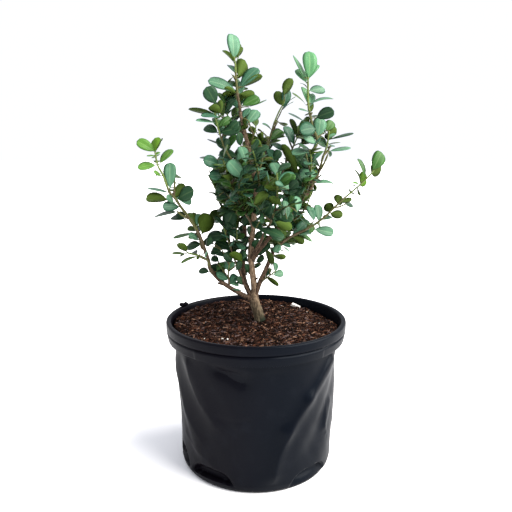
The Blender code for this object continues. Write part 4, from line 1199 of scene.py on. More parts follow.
# Side shoots that it shows: the masses that may carry them and the places along them
SEEN_TWIGS = (
    ("centre_right right_front", ((281, 177), (284, 168), (288, 160), (291, 152), (294, 145), (296, 138))),
    ("centre_right right_front", ((294, 145), (299, 143.5), (306, 143.5))),
    ("left_low low_left", ((228, 250), (225, 238), (224, 230), (222, 225))),
    ("centre_top", ((273, 130), (276, 122), (280, 114), (283, 107))),
    ("right_arm", ((345, 198), (351, 193), (357, 187), (361, 183), (366, 178), (371, 173))),
    ("right_low", ((262, 282), (266, 276), (270, 272), (274, 272))),
    ("left_arm", ((204, 249), (199, 238), (196, 231))),
)


def followed_stem(name):
    """A mass's stem as the solids have it, drawn over to where the photograph shows it."""
    stem = stem_path(name)
    if name not in SEEN_STEMS:
        return stem
    heights, depths = zip(*sorted(seen(point)[1:] for point in stem))
    return stem[:1] + [sight(x, y, np.interp(y, heights, depths)) for x, y in SEEN_STEMS[name]]


def nearest_shoot(names, x, y, shoots):
    """The point of the named masses' shoots that the camera sees nearest to a place, its depth, its shoot
    and how far along it lies. A shoot further back counts as further off."""
    best = None
    for shoot in shoots:
        if shoot.mass not in names.split():
            continue
        for share in np.linspace(0, 1, PATH_SAMPLES):
            point = walk(shoot.path, share * path_length(shoot.path))[0]
            at_x, at_y, depth = seen(point)
            off = math.hypot(at_x - x, at_y - y) + SIGHT_BACK_COST * depth / MM
            if best is None or off < best[0]:
                best = (off, point, depth, shoot, share * path_length(shoot.path))
    return best[1:]


# Growth starts with the stems, then their twigs, then the side shoots that the photograph shows
stems = {name: followed_stem(name) for name in MASSES}
for mass_name, stem in stems.items():
    crowd.add(mass_name + " wood", *plain_tube(stem, stem_radius(stem), TWIG_TIP_RADIUS))
mass_dice = {name: random.Random(mass.seed) for name, mass in MASSES.items()}
twigs = {name: grow_twigs(name, stems[name], mass_dice[name]) for name in MASSES}
shoots = []
for mass_name, stem in stems.items():
    shoots.append(Shoot(mass_name, 0, stem, stem_radius(stem), TWIG_TIP_RADIUS, 0))
    for number, twig in enumerate(twigs[mass_name]):
        shoots.append(Shoot(mass_name, number + 1, twig, TWIG_RADIUS, TWIG_TIP_RADIUS, 1))
for names, places in SEEN_TWIGS:
    foot, depth, carrier, _ = nearest_shoot(names, *places[0], shoots)
    path = [foot] + [sight(x, y, depth) for x, y in places]
    radii = (TWIG_RADIUS * SEEN_TWIG_SHARE, TWIG_TIP_RADIUS * SEEN_TWIG_SHARE)
    shoots.append(Shoot(carrier.mass, len(shoots), path, *radii, 1))

# Leaves that the photograph shows one by one: places of the foot and the tip, how far the upper face is
# turned from the viewer in degrees, the seen width as a share of the seen length, and the tint
# Of the tints, pale is a painted sheen on leaves that face the light and deep is painted shade.
SEEN_LEAVES = {
    "crown_top": (
        (234, 60, 232, 33.5, 15, 0.4, "pale_sheen"), (235, 58, 236.5, 43.5, 165, 0.62, "olive"),
        (236, 58, 243, 47, 120, 0.5, "olive"), (234, 63, 222.5, 50, 100, 0.3, "olive"),
        (236, 62, 239.5, 53, 90, 0.35, "olive"), (234, 60, 233, 53, 150, 0.3, "olive"),
        (235, 73, 229, 65, 40, 0.6, "blue"), (238, 77, 246, 61, 150, 0.65, "olive"),
        (240, 88, 259, 68, 20, 0.4, "blue"), (243, 87, 263, 77, 110, 0.28, "olive"),
        (236, 90.5, 207.5, 81, 30, 0.35, "pale_sheen"), (234, 76, 228, 83, 90, 0.3, "olive"),
        (236, 93, 224, 88, 130, 0.5, "olive"), (236, 99, 223, 110, 30, 0.6, "deep"),
        (238, 108, 231, 99, 20, 0.5, "blue"), (238, 96, 243, 82, 20, 0.4, "pale_sheen"),
        (240, 94, 255, 95, 150, 0.5, "olive"), (242, 106, 259, 97, 25, 0.55, "green"),
        (249, 107, 266, 99.5, 60, 0.3, "green"),
    ),
    "crown_left upper_left": (
        (216, 104, 206, 87, 10, 0.6, "deep"), (216, 115, 188.5, 111, 114, 0.18, "deep"),
        (220, 118, 200, 115.5, 50, 0.33, "blue"), (215, 122.5, 195.5, 120.5, 50, 0.3, "pale_sheen"),
        (221, 113, 209.5, 106.5, 140, 0.5, "olive"), (221, 113, 219, 100, 150, 0.45, "olive"),
        (218, 133, 204.5, 127, 20, 0.6, "deep"), (219.5, 132.5, 241, 128, 30, 0.5, "deep"),
        (222, 146, 207.5, 139, 64, 0.22, "deep"), (238, 158, 219, 152, 30, 0.45, "deep"),
        (226, 136, 238, 121, 30, 0.55, "deep"), (224, 148, 229, 139, 20, 0.6, "deep"),
    ),
    "crown_right": (
        (247, 124, 258, 110, 10, 0.65, "pale_sheen"), (243, 118, 249, 108, 20, 0.5, "blue"),
        (246, 126, 246, 116, 150, 0.6, "olive"),
    ),
    "middle_left upper_left front_middle": (
        (216, 160, 199, 157.5, 64, 0.2, "deep"), (220, 166, 202.5, 160, 20, 0.55, "blue"),
        (222, 176, 209, 175, 20, 0.7, "blue"), (219, 196, 205, 193, 64, 0.22, "deep"),
        (226, 192, 216, 189, 30, 0.6, "deep"), (243, 178, 228, 161, 10, 0.5, "pale_sheen"),
        (246, 163, 242, 146, 10, 0.52, "pale_sheen"), (245, 197, 234.5, 197.5, 50, 0.45, "pale_sheen"),
        (236, 213, 217, 211, 60, 0.3, "deep"), (240, 211, 223, 206, 60, 0.3, "blue"),
        (228, 198, 216, 196, 30, 0.55, "deep"), (245, 190, 235, 187, 20, 0.7, "deep"),
        (241, 146, 237, 133, 20, 0.5, "deep"),
    ),
    "right_leader": (
        # The fresh leaves are new growth with a painted sheen on them.
        (308.5, 79, 310.5, 51, 10, 0.43, "fresh_with_sheen"), (308, 80, 317.5, 64, 45, 0.42, "fresh_with_sheen"),
        (304.5, 78, 292.5, 55, 50, 0.34, "fresh_with_sheen"), (306.5, 83, 296, 69, 30, 0.5, "fresh_with_sheen"),
        (307, 88, 299.5, 83, 90, 0.3, "deep"), (309, 91, 324.5, 88.5, 25, 0.6, "pale_sheen"),
        (309, 106, 303, 86.5, 30, 0.33, "fresh_with_sheen"), (309.5, 107, 311.5, 93, 10, 0.48, "pale_sheen"),
        (311, 103.5, 334, 99, 58, 0.22, "pale_sheen"), (310, 112, 313.5, 103, 150, 0.45, "olive"),
        (306, 105, 291.5, 92.5, 66, 0.13, "olive"), (311, 113, 299, 109.5, 60, 0.3, "pale_sheen"),
        (306, 123, 288, 113.5, 64, 0.22, "blue"), (316, 118, 334, 110, 10, 0.5, "deep"),
        (318, 137, 320, 116.5, 5, 0.62, "pale_sheen"), (316, 129, 299, 130, 10, 0.7, "blue"),
        (317, 143, 303, 137, 20, 0.5, "pale_sheen"),
    ),
    "right_spray": (
        (326, 131, 333, 121, 20, 0.7, "green"), (327, 135, 337, 129, 150, 0.7, "olive"),
        (327, 139, 336, 134, 40, 0.4, "pale_sheen"), (329, 140, 354, 132.5, 64, 0.16, "deep"),
        (329, 144, 341, 142.5, 62, 0.26, "olive"), (329, 151.5, 351, 147.5, 60, 0.3, "pale_sheen"),
        (328, 150, 330.5, 157, 30, 0.4, "deep"),
    ),
    "centre_top": (
        (284, 95, 291, 77, 150, 0.4, "olive"), (283.5, 108, 287, 88, 20, 0.4, "blue"),
        (283, 106, 276, 91, 160, 0.5, "olive"), (283, 109, 295, 97.5, 80, 0.2, "blue"),
        (283, 109.5, 293.5, 102, 70, 0.25, "blue"), (270, 140, 283, 131, 20, 0.6, "green"),
        (272, 131, 262, 124, 60, 0.25, "pale_sheen"), (266, 138, 257, 129, 90, 0.2, "olive"),
        (258, 130, 249, 134, 90, 0.2, "olive"),
    ),
    "centre_top front_middle": (
        (252, 151, 258, 139, 20, 0.6, "deep"), (266, 149, 277, 160, 20, 0.55, "blue"),
        (279, 178, 273, 162, 10, 0.6, "pale_sheen"), (274, 160, 280, 150, 20, 0.6, "deep"),
        (253, 182, 266, 171, 20, 0.5, "blue"), (253, 172, 264, 167, 40, 0.45, "pale_sheen"),
        (262, 190, 274, 177, 20, 0.7, "olive"), (262, 146, 252, 141, 140, 0.5, "olive"),
        (271, 144, 285, 150, 40, 0.42, "blue"),
    ),
    "centre_right right_front front_middle front_low": (
        (296, 137, 290, 118.5, 110, 0.25, "deep"), (294, 145, 283, 126.5, 35, 0.42, "blue"),
        (299, 143.5, 310, 143, 90, 0.16, "olive"), (298, 178, 281, 144, 120, 0.17, "olive"),
        (310, 152, 292, 155, 45, 0.4, "pale_sheen"), (308, 168, 301, 159.5, 20, 0.6, "deep"),
        (299, 181, 311, 168, 5, 0.8, "pale_sheen"), (302, 200, 312, 185, 150, 0.6, "olive"),
        (301, 204, 314, 206, 90, 0.25, "olive"), (297, 212, 297, 196, 30, 0.4, "pale_sheen"),
        (287, 219, 284, 200, 30, 0.38, "pale_sheen"), (281, 205, 269, 197, 140, 0.5, "olive"),
        (289, 190, 298, 181, 20, 0.6, "deep"), (263, 216, 272, 203, 15, 0.8, "deep"),
        (272, 217, 275, 204, 60, 0.3, "blue"), (272, 222, 259, 221, 140, 0.3, "olive"),
        (275, 222, 292, 229, 150, 0.45, "olive"), (256, 228, 285, 238, 50, 0.3, "deep"),
        (254, 205, 269, 194, 150, 0.5, "olive"), (284, 186, 275, 182, 30, 0.5, "blue"),
    ),
    "right_side right_front": (
        (313, 161, 322, 151, 40, 0.35, "blue"), (312, 180, 316, 170, 160, 0.45, "olive"),
        (314, 183.5, 335, 184, 50, 0.3, "pale_sheen"), (314, 184, 316, 191, 140, 0.4, "olive"),
    ),
    "right_arm": (
        (371, 174, 382, 167, 160, 0.85, "olive"), (372.5, 170, 383.5, 153, 10, 0.54, "green"),
        (365, 177, 358, 158.5, 50, 0.36, "green"), (360, 180, 353.5, 169, 60, 0.3, "olive"),
        (361, 186, 364, 171.5, 150, 0.48, "young"), (360, 185, 352.5, 182.5, 50, 0.45, "young"),
        (361, 186, 367, 182.5, 140, 0.6, "young"), (358, 188, 352, 185, 60, 0.3, "blue"),
        (338, 205, 341, 195, 150, 0.8, "olive"), (341, 202, 352, 200, 140, 0.4, "olive"),
        (331, 212, 327, 202.5, 160, 0.8, "olive"), (330, 213, 343, 216, 150, 0.5, "olive"),
        (322, 220, 331, 216, 40, 0.5, "pale_sheen"), (314, 221, 309, 206, 30, 0.45, "blue"),
        (319, 222, 317, 204, 20, 0.4, "pale_sheen"), (314, 229, 333.5, 235, 20, 0.45, "pale_sheen"),
        (293, 234, 307, 224, 20, 0.5, "blue"), (293, 237, 303, 245, 140, 0.45, "olive"),
        (299, 235, 313, 234.5, 58, 0.24, "pale_sheen"), (280, 244, 275, 253, 20, 0.65, "pale_sheen"),
        (282, 245, 291, 246, 40, 0.45, "blue"), (283, 247, 290.5, 253, 60, 0.4, "pale_sheen"),
    ),
    "right_low": (
        (275, 272, 276, 262.5, 15, 0.5, "pale_sheen"), (273, 275, 283.5, 273, 15, 0.6, "pale_sheen"),
        (266, 277, 270, 268, 30, 0.5, "blue"), (266, 276, 277, 287, 140, 0.3, "olive"),
        (272, 266, 268, 250, 140, 0.45, "deep"),
    ),
    "front_low right_bough": ((254, 256, 269, 242, 25, 0.5, "deep"),),
    "left_arm": (
        (155, 151.5, 136.5, 141, 20, 0.4, "young"), (155, 152, 154.5, 138, 150, 0.8, "young"),
        (156, 151, 163, 138.5, 90, 0.25, "olive"), (156, 155.5, 147, 156.5, 50, 0.4, "young"),
        (155, 155.5, 160, 152, 40, 0.5, "young"), (156, 165, 137, 167, 30, 0.42, "young"),
        (160, 164, 171, 149, 40, 0.4, "young"), (161, 176, 153.5, 171, 40, 0.42, "young"),
        (170, 189, 170, 162, 5, 0.42, "pale_sheen"), (170, 193, 147, 188, 66, 0.18, "blue"),
        (174, 203, 166, 196, 40, 0.5, "pale_sheen"), (168, 200, 145, 199.5, 140, 0.35, "olive"),
        (173, 197, 187, 188, 160, 0.85, "olive"), (178, 199, 194, 190, 20, 0.7, "deep"),
        (176, 198, 192, 202, 40, 0.45, "pale_sheen"), (180, 207, 162, 206, 40, 0.4, "blue"),
        (178, 212, 153, 217.5, 60, 0.3, "deep"), (185, 219.5, 171.5, 217, 40, 0.45, "deep"),
        (186, 218, 177, 213, 30, 0.5, "deep"), (187, 219, 192, 213, 20, 0.7, "olive"),
        (196, 228, 191, 213, 140, 0.5, "olive"), (197, 226, 199, 213.5, 20, 0.5, "pale_sheen"),
        (202, 234, 210, 214, 140, 0.65, "green"), (196, 233, 172.5, 238, 64, 0.17, "green"),
        (199, 240, 188, 234, 40, 0.4, "pale_sheen"), (201, 245, 187, 245, 30, 0.55, "deep"),
    ),
    "left_sprig": (
        (187, 252, 178, 243, 150, 0.6, "olive"), (186, 254, 172, 254, 60, 0.35, "olive"),
        (188, 253, 180, 257, 64, 0.24, "olive"), (199, 256.5, 180.5, 264, 64, 0.16, "olive"),
    ),
    "left_low inner_left low_left middle_left left_bough inner_bough back_stem": (
        (209, 272, 199, 270, 30, 0.6, "deep"), (226, 275, 211, 265, 30, 0.5, "deep"),
        (228, 271, 229, 260, 5, 0.9, "pale_sheen"), (222, 252, 211, 251, 20, 0.75, "deep"),
        (226, 230, 233, 211.5, 20, 0.6, "deep"), (224, 229, 214, 217, 60, 0.35, "deep"),
        (226, 236, 207, 236, 30, 0.55, "deep"), (226, 232, 243, 237, 40, 0.45, "blue"),
        (232, 250, 216, 241, 30, 0.45, "deep"), (247, 249, 231, 241, 30, 0.45, "deep"),
        (232, 262, 225, 252, 20, 0.6, "deep"), (242, 263, 231, 252, 140, 0.5, "green"),
        (229, 279, 216, 274, 40, 0.5, "blue"), (230, 284, 237, 275, 20, 0.65, "blue"),
        (228, 283, 239, 285, 50, 0.4, "pale_sheen"), (219, 262, 211, 257, 30, 0.6, "deep"),
        (214, 244, 203, 241, 30, 0.6, "deep"), (236, 228, 228, 221, 30, 0.6, "deep"),
        (238, 258, 246, 252, 20, 0.7, "deep"), (217, 271, 222, 262, 20, 0.6, "green"),
        (241, 290, 232, 289, 60, 0.3, "blue"), (236, 270, 242, 262, 30, 0.6, "deep"),
        (206, 246, 212, 238, 30, 0.6, "deep"),
    ),
    # Dark leaves behind the leader and the low boughs: painted shade inside the crown.
    "rear_low rear_left rear_middle back_stem leader inner_bough": (
        (250, 214, 242, 224, 30, 0.6, "deep"), (250, 236, 242, 245, 20, 0.6, "deep"),
        (252, 220, 261, 229, 20, 0.6, "deep"), (254, 238, 263, 233, 20, 0.6, "deep"),
        (248, 262, 241, 256, 20, 0.6, "deep"), (250, 205, 260, 214, 20, 0.6, "deep"),
        (256, 262, 264, 256, 30, 0.6, "deep"), (246, 233, 240, 226, 20, 0.6, "deep"),
        (243, 285, 237, 277, 30, 0.5, "deep"), (262, 250, 271, 246, 30, 0.6, "deep"),
        (247, 275, 241, 268, 30, 0.5, "deep"), (254, 249, 257, 239, 30, 0.6, "deep"),
        (262, 264, 254, 266, 30, 0.5, "deep"), (250, 236, 247.5, 226, 30, 0.4, "deep"),
        (249, 274, 246.5, 263, 30, 0.35, "deep"), (268, 226, 259, 225, 30, 0.5, "deep"),
    ),
}

# How a listed leaf is turned and sized: a full leaf's length, the least and the most that it leans to
# or from the viewer as shares of its seen length, how far it may be turned in degrees, and its widths as
# shares of its seen length, wider for one that faces the viewer than for one that is turned
FULL_SIZE = 17.5 * MM
LEAST_LEAN = 0.22
MOST_LEAN = 0.7
EDGE_ON = 79
FACING = 0.7
LEAST_FACING = 0.2
WIDEST_FACING = 0.95
WIDEST_TURNED = 0.52
NARROWEST = 0.36
WIDTH_GAIN = 1.22
STALK_GAP = 0.8 * MM
STALK_ARCH = 0.08
SPUR_RADIUS = 0.42 * MM
STALK_TIP = 0.9
UNDERSIDE_FROM = 100
LIT_SIDE = 0.3
BEARING_LIMBS = ("leader", "back_stem", "left_bough", "inner_bough", "right_bough")
limb_shoots = [Shoot(name, 0, limb_path(name), 0, 0, 0) for name in BEARING_LIMBS]
spurs = []
grown_to = defaultdict(float)


def set_leaf(names, row):
    """A leaf whose foot and tip the camera sees at the places given. It leans to or from the viewer by
    what its seen length lacks of a full one, so that leaves with the painted sheen turn to the light and
    those with the painted shade turn from it."""
    x, y, tip_x, tip_y, turn, seen_width, tint = row
    carrier, depth, shoot, distance = nearest_shoot(names, x, y, shoots + limb_shoots)
    mass = shoot.mass if shoot.mass in MASSES else names.split()[0]
    grown_to[shoot.mass, shoot.number] = max(grown_to[shoot.mass, shoot.number], distance)
    root = sight(x, y, depth)
    if (root - carrier).length > STALK_GAP:
        middle = carrier.lerp(root, 0.5) + UP * STALK_ARCH * (root - carrier).length
        stalk = [carrier, middle, root]
        spurs.append(Shoot(mass, shoot.number, stalk, SPUR_RADIUS, SPUR_RADIUS * STALK_TIP, 2))
    turn = min(turn, EDGE_ON) if turn < UNDERSIDE_FROM else max(turn, 180 - EDGE_ON)
    flat = sight(tip_x, tip_y, depth) - root
    lacks = math.sqrt(max(0, FULL_SIZE**2 - flat.length_squared))
    lean = min(max(lacks, LEAST_LEAN * flat.length), MOST_LEAN * flat.length)
    choices = []
    for nearer in (lean, -lean):
        span = sight(tip_x, tip_y, depth - nearer) - root
        along = span.normalized()
        to_viewer = (SIGHT_BACK - along * along.dot(SIGHT_BACK)).normalized()
        upward = along.cross(to_viewer)
        upward = upward if upward.dot(UP + SIGHT_RIGHT * LIT_SIDE) > 0 else -upward
        face = to_viewer * math.cos(math.radians(turn)) + upward * math.sin(math.radians(turn))
        lit = face * (-1 if turn > 90 else 1)
        choices.append((lit.dot(Vector(LIGHT_FROM)), span, along, face))
    choices.sort(key=lambda choice: choice[0])
    # A leaf with the painted shade leans from the light, any other towards it.
    _, span, along, face = choices[0 if tint == "deep" else 1]
    facing = abs(math.cos(math.radians(turn)))
    widest, gain = (WIDEST_FACING, WIDTH_GAIN) if facing > FACING else (WIDEST_TURNED, 1)
    share = min(seen_width / max(facing, LEAST_FACING), widest)
    width = max(share, NARROWEST) * flat.length * gain
    return Leaf(mass, 0, root, along, face, span.length, width, tint)


leaves = [set_leaf(names, row) for names, rows in SEEN_LEAVES.items() for row in rows]
for leaf in leaves:
    crowd.add(leaf.mass, *leaf_body(leaf.root, leaf.along, leaf.face, leaf.length, leaf.width))
GUARDED_SHARES = (0.45, 0.8)
set_places = np.array([
    seen(leaf.root + leaf.along * leaf.length * share) for leaf in leaves for share in GUARDED_SHARES
])

# Gaps through which the photograph shows the sky: middle and half size across and down the picture
OPEN_SKY = (
    (268, 96, 12, 22), (296, 96, 7, 16), (279, 152, 4, 5), (340, 176, 15, 22), (318, 198, 14, 8),
    (310, 258, 26, 20), (262, 118, 8, 9), (262, 226, 4, 8), (236, 143, 6, 5), (205, 140, 8, 5),
    (205, 150, 10, 5), (198, 175, 9, 9), (200, 188, 8, 6), (240, 222, 4, 8), (222, 220, 3, 7),
    (197, 262, 6, 3), (246, 262, 3, 6), (282, 262, 6, 6), (295, 165, 4, 7), (232, 110, 3, 5),
    (340, 150, 12, 6), (205, 96, 7, 5), (207, 194, 11, 8), (208, 206, 12, 8), (206, 168, 6, 6),
    (207, 184, 8, 5), (276, 117, 6, 8), (256, 133, 4, 4), (269, 246, 4, 5), (214, 226, 6, 5),
    (224, 218, 4, 6), (239, 225, 4, 5), (324, 163, 9, 12), (267, 130, 6, 5),
)
# Where it shows the crown closed, so that leaves may lie across the view
CLOSED_CROWN = (
    (228, 112, 15, 32), (250, 112, 11, 24), (232, 152, 20, 26), (256, 182, 42, 42), (226, 245, 24, 38),
    (181, 208, 7, 12), (246, 245, 9, 45), (270, 212, 26, 28), (314, 126, 16, 16), (304, 168, 16, 20),
    (280, 95, 7, 10), (196, 235, 12, 14), (245, 75, 10, 10), (310, 78, 8, 14),
)
# Masses in front of the leader, and those whose leaves must keep to the outline that the photograph shows
NEAR_MASSES = {"front_low", "front_middle", "right_front", "right_side", "low_left", "middle_left"}
SKY_FACING = set(" ".join(SEEN_LEAVES).split()) - NEAR_MASSES - {"rear_low", "rear_left", "rear_middle"}
# The stretch of the leader that shows bare, and how near to it and to a set leaf another may pass before it
LEADER_BARE = (186, 292)
LEADER_MARGIN = 8.5
OVERLAP = 8.5
leader_seen = sorted((seen(point) for point in limb_path("leader")), key=lambda place: place[1])
leader_across, leader_down, leader_depths = zip(*leader_seen)
leader_depth = np.mean(leader_depths)
# The share of its length below which a leaf counts as seen end-on, in general and in a mass in front, the
# size of the leaves in front, the least slant at which one can turn edge-on, and where a leaf is tested
END_ON = 0.55
NEAR_END_ON = 0.62
NEAR_SIZE = 0.85
LEAST_EDGE = 0.25
TESTED_SHARES = (0.4, 0.7, 1.0)


def places_on(root, along, length):
    """Where the camera sees three points along a leaf: across, down and in front."""
    return [seen(root + along * length * share) for share in TESTED_SHARES]


def within(patches, x, y):
    """Whether a place of the picture lies in one of the ellipses."""
    return any(((x - a) / half_x) ** 2 + ((y - b) / half_y) ** 2 < 1 for a, b, half_x, half_y in patches)


def hides(root, along, length):
    """Whether a leaf would stand before the bare stretch of the leader or before a listed leaf."""
    for x, y, depth in places_on(root, along, length):
        close = np.hypot(set_places[:, 0] - x, set_places[:, 1] - y) < OVERLAP
        if (close & (set_places[:, 2] > depth)).any():
            return True
        off = abs(x - np.interp(y, leader_down, leader_across))
        if LEADER_BARE[0] < y < LEADER_BARE[1] and off < LEADER_MARGIN and depth < leader_depth:
            return True
    return False


def end_on(along):
    """The share of a leaf's length that the camera sees."""
    return (along - SIGHT_BACK * along.dot(SIGHT_BACK)).length


def keeps_the_outline(root, along, length):
    """Whether the camera sees a leaf so foreshortened that it fills depth and not outline, or well inside
    the closed crown."""
    if end_on(along) < END_ON:
        return True
    return all(within(CLOSED_CROWN, x, y) for x, y, _ in places_on(root, along, length))


def fits_the_view(name, root, along, face, length):
    """The face of a leaf that suits the view, or None. In front, a leaf that would hide what is listed
    turns edge-on to the viewer when it points to or from the camera, and else is left out."""
    if any(within(OPEN_SKY, x, y) for x, y, _ in places_on(root, along, length)):
        return None
    if name in SKY_FACING and not keeps_the_outline(root, along, length):
        return None
    if not hides(root, along, length):
        return face
    if name not in NEAR_MASSES or end_on(along) > NEAR_END_ON:
        return None
    edge = along.cross(SIGHT_BACK)
    if edge.length < LEAST_EDGE:
        edge = UP - along * along.dot(UP)
    return edge.normalized() * (1 if edge.dot(UP) > 0 else -1)


def grow_leaves(name, shoots, dice, late):
    """The leaves of a mass. One that would touch anything else is tried smaller, then left out. Late
    leaves stand a share of the spacing further on than the first pairs."""
    leaves = []
    for number, shoot in enumerate(shoots):
        bare = MASSES[name].bare * MM if number == 0 else TWIG_BARE * PAIR_SPACING
        bare += late * PAIR_SPACING
        for distance, turn, splay, halves in leaf_places(shoot, bare, dice):
            root, tangent = walk(shoot, distance)
            share = distance / path_length(shoot)
            size = MASSES[name].leaf * (LEAF_FOOT_SIZE - LEAF_TAPER * share) * dice.uniform(*LEAF_SIZES)
            if name in NEAR_MASSES:
                size *= NEAR_SIZE
            for half in halves:
                twist = math.radians(dice.uniform(-LEAF_TWIST, LEAF_TWIST))
                for shrink, tilt in LEAF_TRIES:
                    along, face = leaf_frame(root, tangent, turn + half + tilt, splay + tilt * TILT_SPLAY)
                    length = LEAF_LENGTH * size * shrink
                    tip = root + along * length
                    if min((tip - point).length for point in shoots[0]) > REACH:
                        continue
                    fitting = fits_the_view(name, root, along, face, length)
                    if fitting is None:
                        continue
                    face = Matrix.Rotation(twist, 3, along) @ face if fitting is face else fitting
                    leaf = (root, along, face, length, length * LEAF_WIDTH_SHARE)
                    if crowd.touches(*leaf_space(*leaf), skip=(name + " wood",)):
                        continue
                    crowd.add(name, *leaf_body(*leaf))
                    leaves.append(Leaf(name, number, *leaf, None))
                    grown_to[name, number] = max(grown_to[name, number], distance)
                    break
    return leaves


# Pairs stand at the rule's places first, then in the gaps between them, in so many shares of the spacing
LATE_PAIRS = (0, 0.5, 0.25, 0.75, 0.12, 0.62)
for late in LATE_PAIRS:
    for mass_name in MASSES:
        mass_shoots = [stems[mass_name], *twigs[mass_name]]
        leaves += grow_leaves(mass_name, mass_shoots, mass_dice[mass_name], late)

# The finer growth that the solids leave out: short spurs in the angle of a leaf and its shoot, each with
# small new leaves, within the same reach and clear of all that grew before.
SPUR_SHARE = 0.6
SPUR_LENGTHS = (3.5, 8.0)
SPUR_LEAVES = (8.0, 13.0)
SPUR_SPLAY = (0.5, 0.95)
SPUR_LEAF_WIDTH = 0.6
TWO_PAIRS = 5.5 * MM
SPUR_PAIRS = ((1, 0), (1, math.pi), (0.6, math.pi / 2), (0.6, 1.5 * math.pi))
SPUR_FOOT = 1.3
SPUR_ONWARD = 0.55
SPUR_UPWARD = 0.75
SPUR_RISE = 0.15
small_leaves = []
dice = random.Random(71)
for leaf in list(leaves):
    if dice.random() > SPUR_SHARE:
        continue
    out = (leaf.along * SPUR_ONWARD + leaf.face * SPUR_UPWARD).normalized()
    length = dice.uniform(*SPUR_LENGTHS) * MM
    end = leaf.root + (out + UP * SPUR_RISE).normalized() * length
    path = [leaf.root, leaf.root + out * length / 2, end]
    splay = dice.uniform(*SPUR_SPLAY)
    turn = dice.uniform(0, math.pi)
    size = dice.uniform(*SPUR_LEAVES) * MM
    grown = []
    for share, half in SPUR_PAIRS:
        if share < 1 and length < TWO_PAIRS:
            continue
        root, tangent = walk(path, share * length)
        along, face = leaf_frame(root, tangent, turn + half, splay)
        small = (root, along, face, size, size * SPUR_LEAF_WIDTH)
        if fits_the_view(leaf.mass, root, along, face, size) is not face:
            continue
        if crowd.touches(*leaf_space(*small), skip=(leaf.mass + " wood",)):
            continue
        crowd.add(leaf.mass, *leaf_body(*small))
        grown.append(Leaf(leaf.mass, leaf.spray, *small, None))
    if grown:
        small_leaves += grown
        spurs.append(Shoot(leaf.mass, leaf.spray, path, SPUR_RADIUS * SPUR_FOOT, SPUR_RADIUS, 2))


def cut_back(shoot):
    """A shoot as far as its last leaf."""
    end = min(grown_to[shoot.mass, shoot.number] + MM, path_length(shoot.path))
    passed = np.cumsum([0] + [(b - a).length for a, b in zip(shoot.path, shoot.path[1:])])
    path = [point for point, distance in zip(shoot.path, passed) if distance < end - MM]
    return shoot._replace(path=path + [walk(shoot.path, end)[0]])


LEAST_SHOOT = 2 * MM
shoots = [cut_back(shoot) for shoot in shoots if grown_to[shoot.mass, shoot.number] > LEAST_SHOOT]

# Shoots and twigs: brown and woody at the foot of a mass, olive in the middle, green towards the tips,
# with a swelling at each pair of leaves. One joined mesh of tapering tubes, in plain colours by part.
TWIG_SIDES = 7
TWIG_STEP = 1.6 * MM
TWIG_TAPER = 1.4
SEEN_STOUTER = 1.12
GROWN_THINNER = 0.85
NODE_SWELL = 0.18
NODE_SHARPNESS = 8
TWIG_TINTS = {
    "twig_brown": ((0.036, 0.026, 0.014), (0.105, 0.078, 0.044)),
    "twig_olive": ((0.048, 0.050, 0.017), (0.100, 0.100, 0.036)),
    "twig_green": ((0.070, 0.105, 0.024), (0.125, 0.165, 0.045)),
}
# Where brown gives way to olive and olive to green, as shares of the length of a stem, a twig and a spur
TINT_ENDS = ((0.34, 0.72), (0.3, 2), (-1, 2))
twig_skin = {"relief": (0.00015, 0.7), "roughness": 0.55, "specular": 0.12}
twig_materials = [grained(name, pair, 1100, (0.3, 0.7), **twig_skin) for name, pair in TWIG_TINTS.items()]
twig_points, twig_faces, twig_slots = [], [], []
point_count = 0
for shoot in shoots + spurs:
    path = shoot.path
    if shoot.rank == 0:
        limb_line = limb_path(MASSES[shoot.mass].limb)
        inward = walk(limb_line, MASSES[shoot.mass].along * path_length(limb_line))[0]
        path = [inward] + path
    line, along = smooth_line(path, TWIG_STEP)
    share = along / along[-1]
    radius = shoot.foot + (shoot.tip - shoot.foot) * share**TWIG_TAPER
    if shoot.rank < 2:
        radius *= 1 + NODE_SWELL * np.exp(-((((along / PAIR_SPACING) % 1) - 0.5) * NODE_SHARPNESS) ** 2)
    if shoot.mass in SEEN_STEMS:
        radius *= SEEN_STOUTER
    elif shoot.rank < 2:
        radius *= GROWN_THINNER
    points, faces = closed_tube(line, np.repeat(radius[:, None], TWIG_SIDES, 1), TWIG_SIDES, point_count)
    tints = np.searchsorted(TINT_ENDS[shoot.rank], (share[1:] + share[:-1]) / 2, side="right")
    slots = np.repeat(tints, TWIG_SIDES).tolist() + [tints[0]] * TWIG_SIDES + [tints[-1]] * TWIG_SIDES
    twig_points.append(points)
    twig_faces += faces
    twig_slots += slots
    point_count += len(points)
twig_points = np.concatenate(twig_points)
twig_piece = lay_mesh("shoots_and_twigs", twig_points, twig_faces, twig_materials, twig_slots)
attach(twig_piece, "root")
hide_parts(*MASSES)

# Leaves: small, leathery and glossy, broadest past the middle with a rounded tip, creased along the
# midrib and bent slightly back. Dark bluish green above, olive below, bright green on the newest
# shoots. Each is a closed blade on a short stalk, and each tint is dealt out to whole sprays.
LEAF_ROWS = np.array([-0.02, 0.07, 0.19, 0.34, 0.51, 0.67, 0.82, 0.93])
LEAF_COLUMNS = np.array([-1.0, -0.52, -0.085, 0.085, 0.52, 1.0])
LEAF_THICKNESS = 0.34 * MM
STALK_WIDTH = 0.5 * MM
STALK_SHARE = 0.05
BROADEST = 0.428
WIDTH_PLAY = (0.93, 1.07)
BEND = (0.38, 0.26)
LEAST_BEND = 0.04
FOLD = (0.10, 0.42)
CURL = (0.10, 0.42)
CURL_DEPTH = 0.7
BLADE_TWIST = 0.16
SWAY = 0.05


def blade_width(share):
    """Half width as a share of the broadest: t^0.76 (1 - t)^0.5, scaled to reach 1, where t runs from 0 at
    the stalk's end to 1 at the tip."""
    t = np.clip((share - STALK_SHARE) / (1 - STALK_SHARE), 0, 1)
    return t**0.76 * (1 - t) ** 0.5 / BROADEST


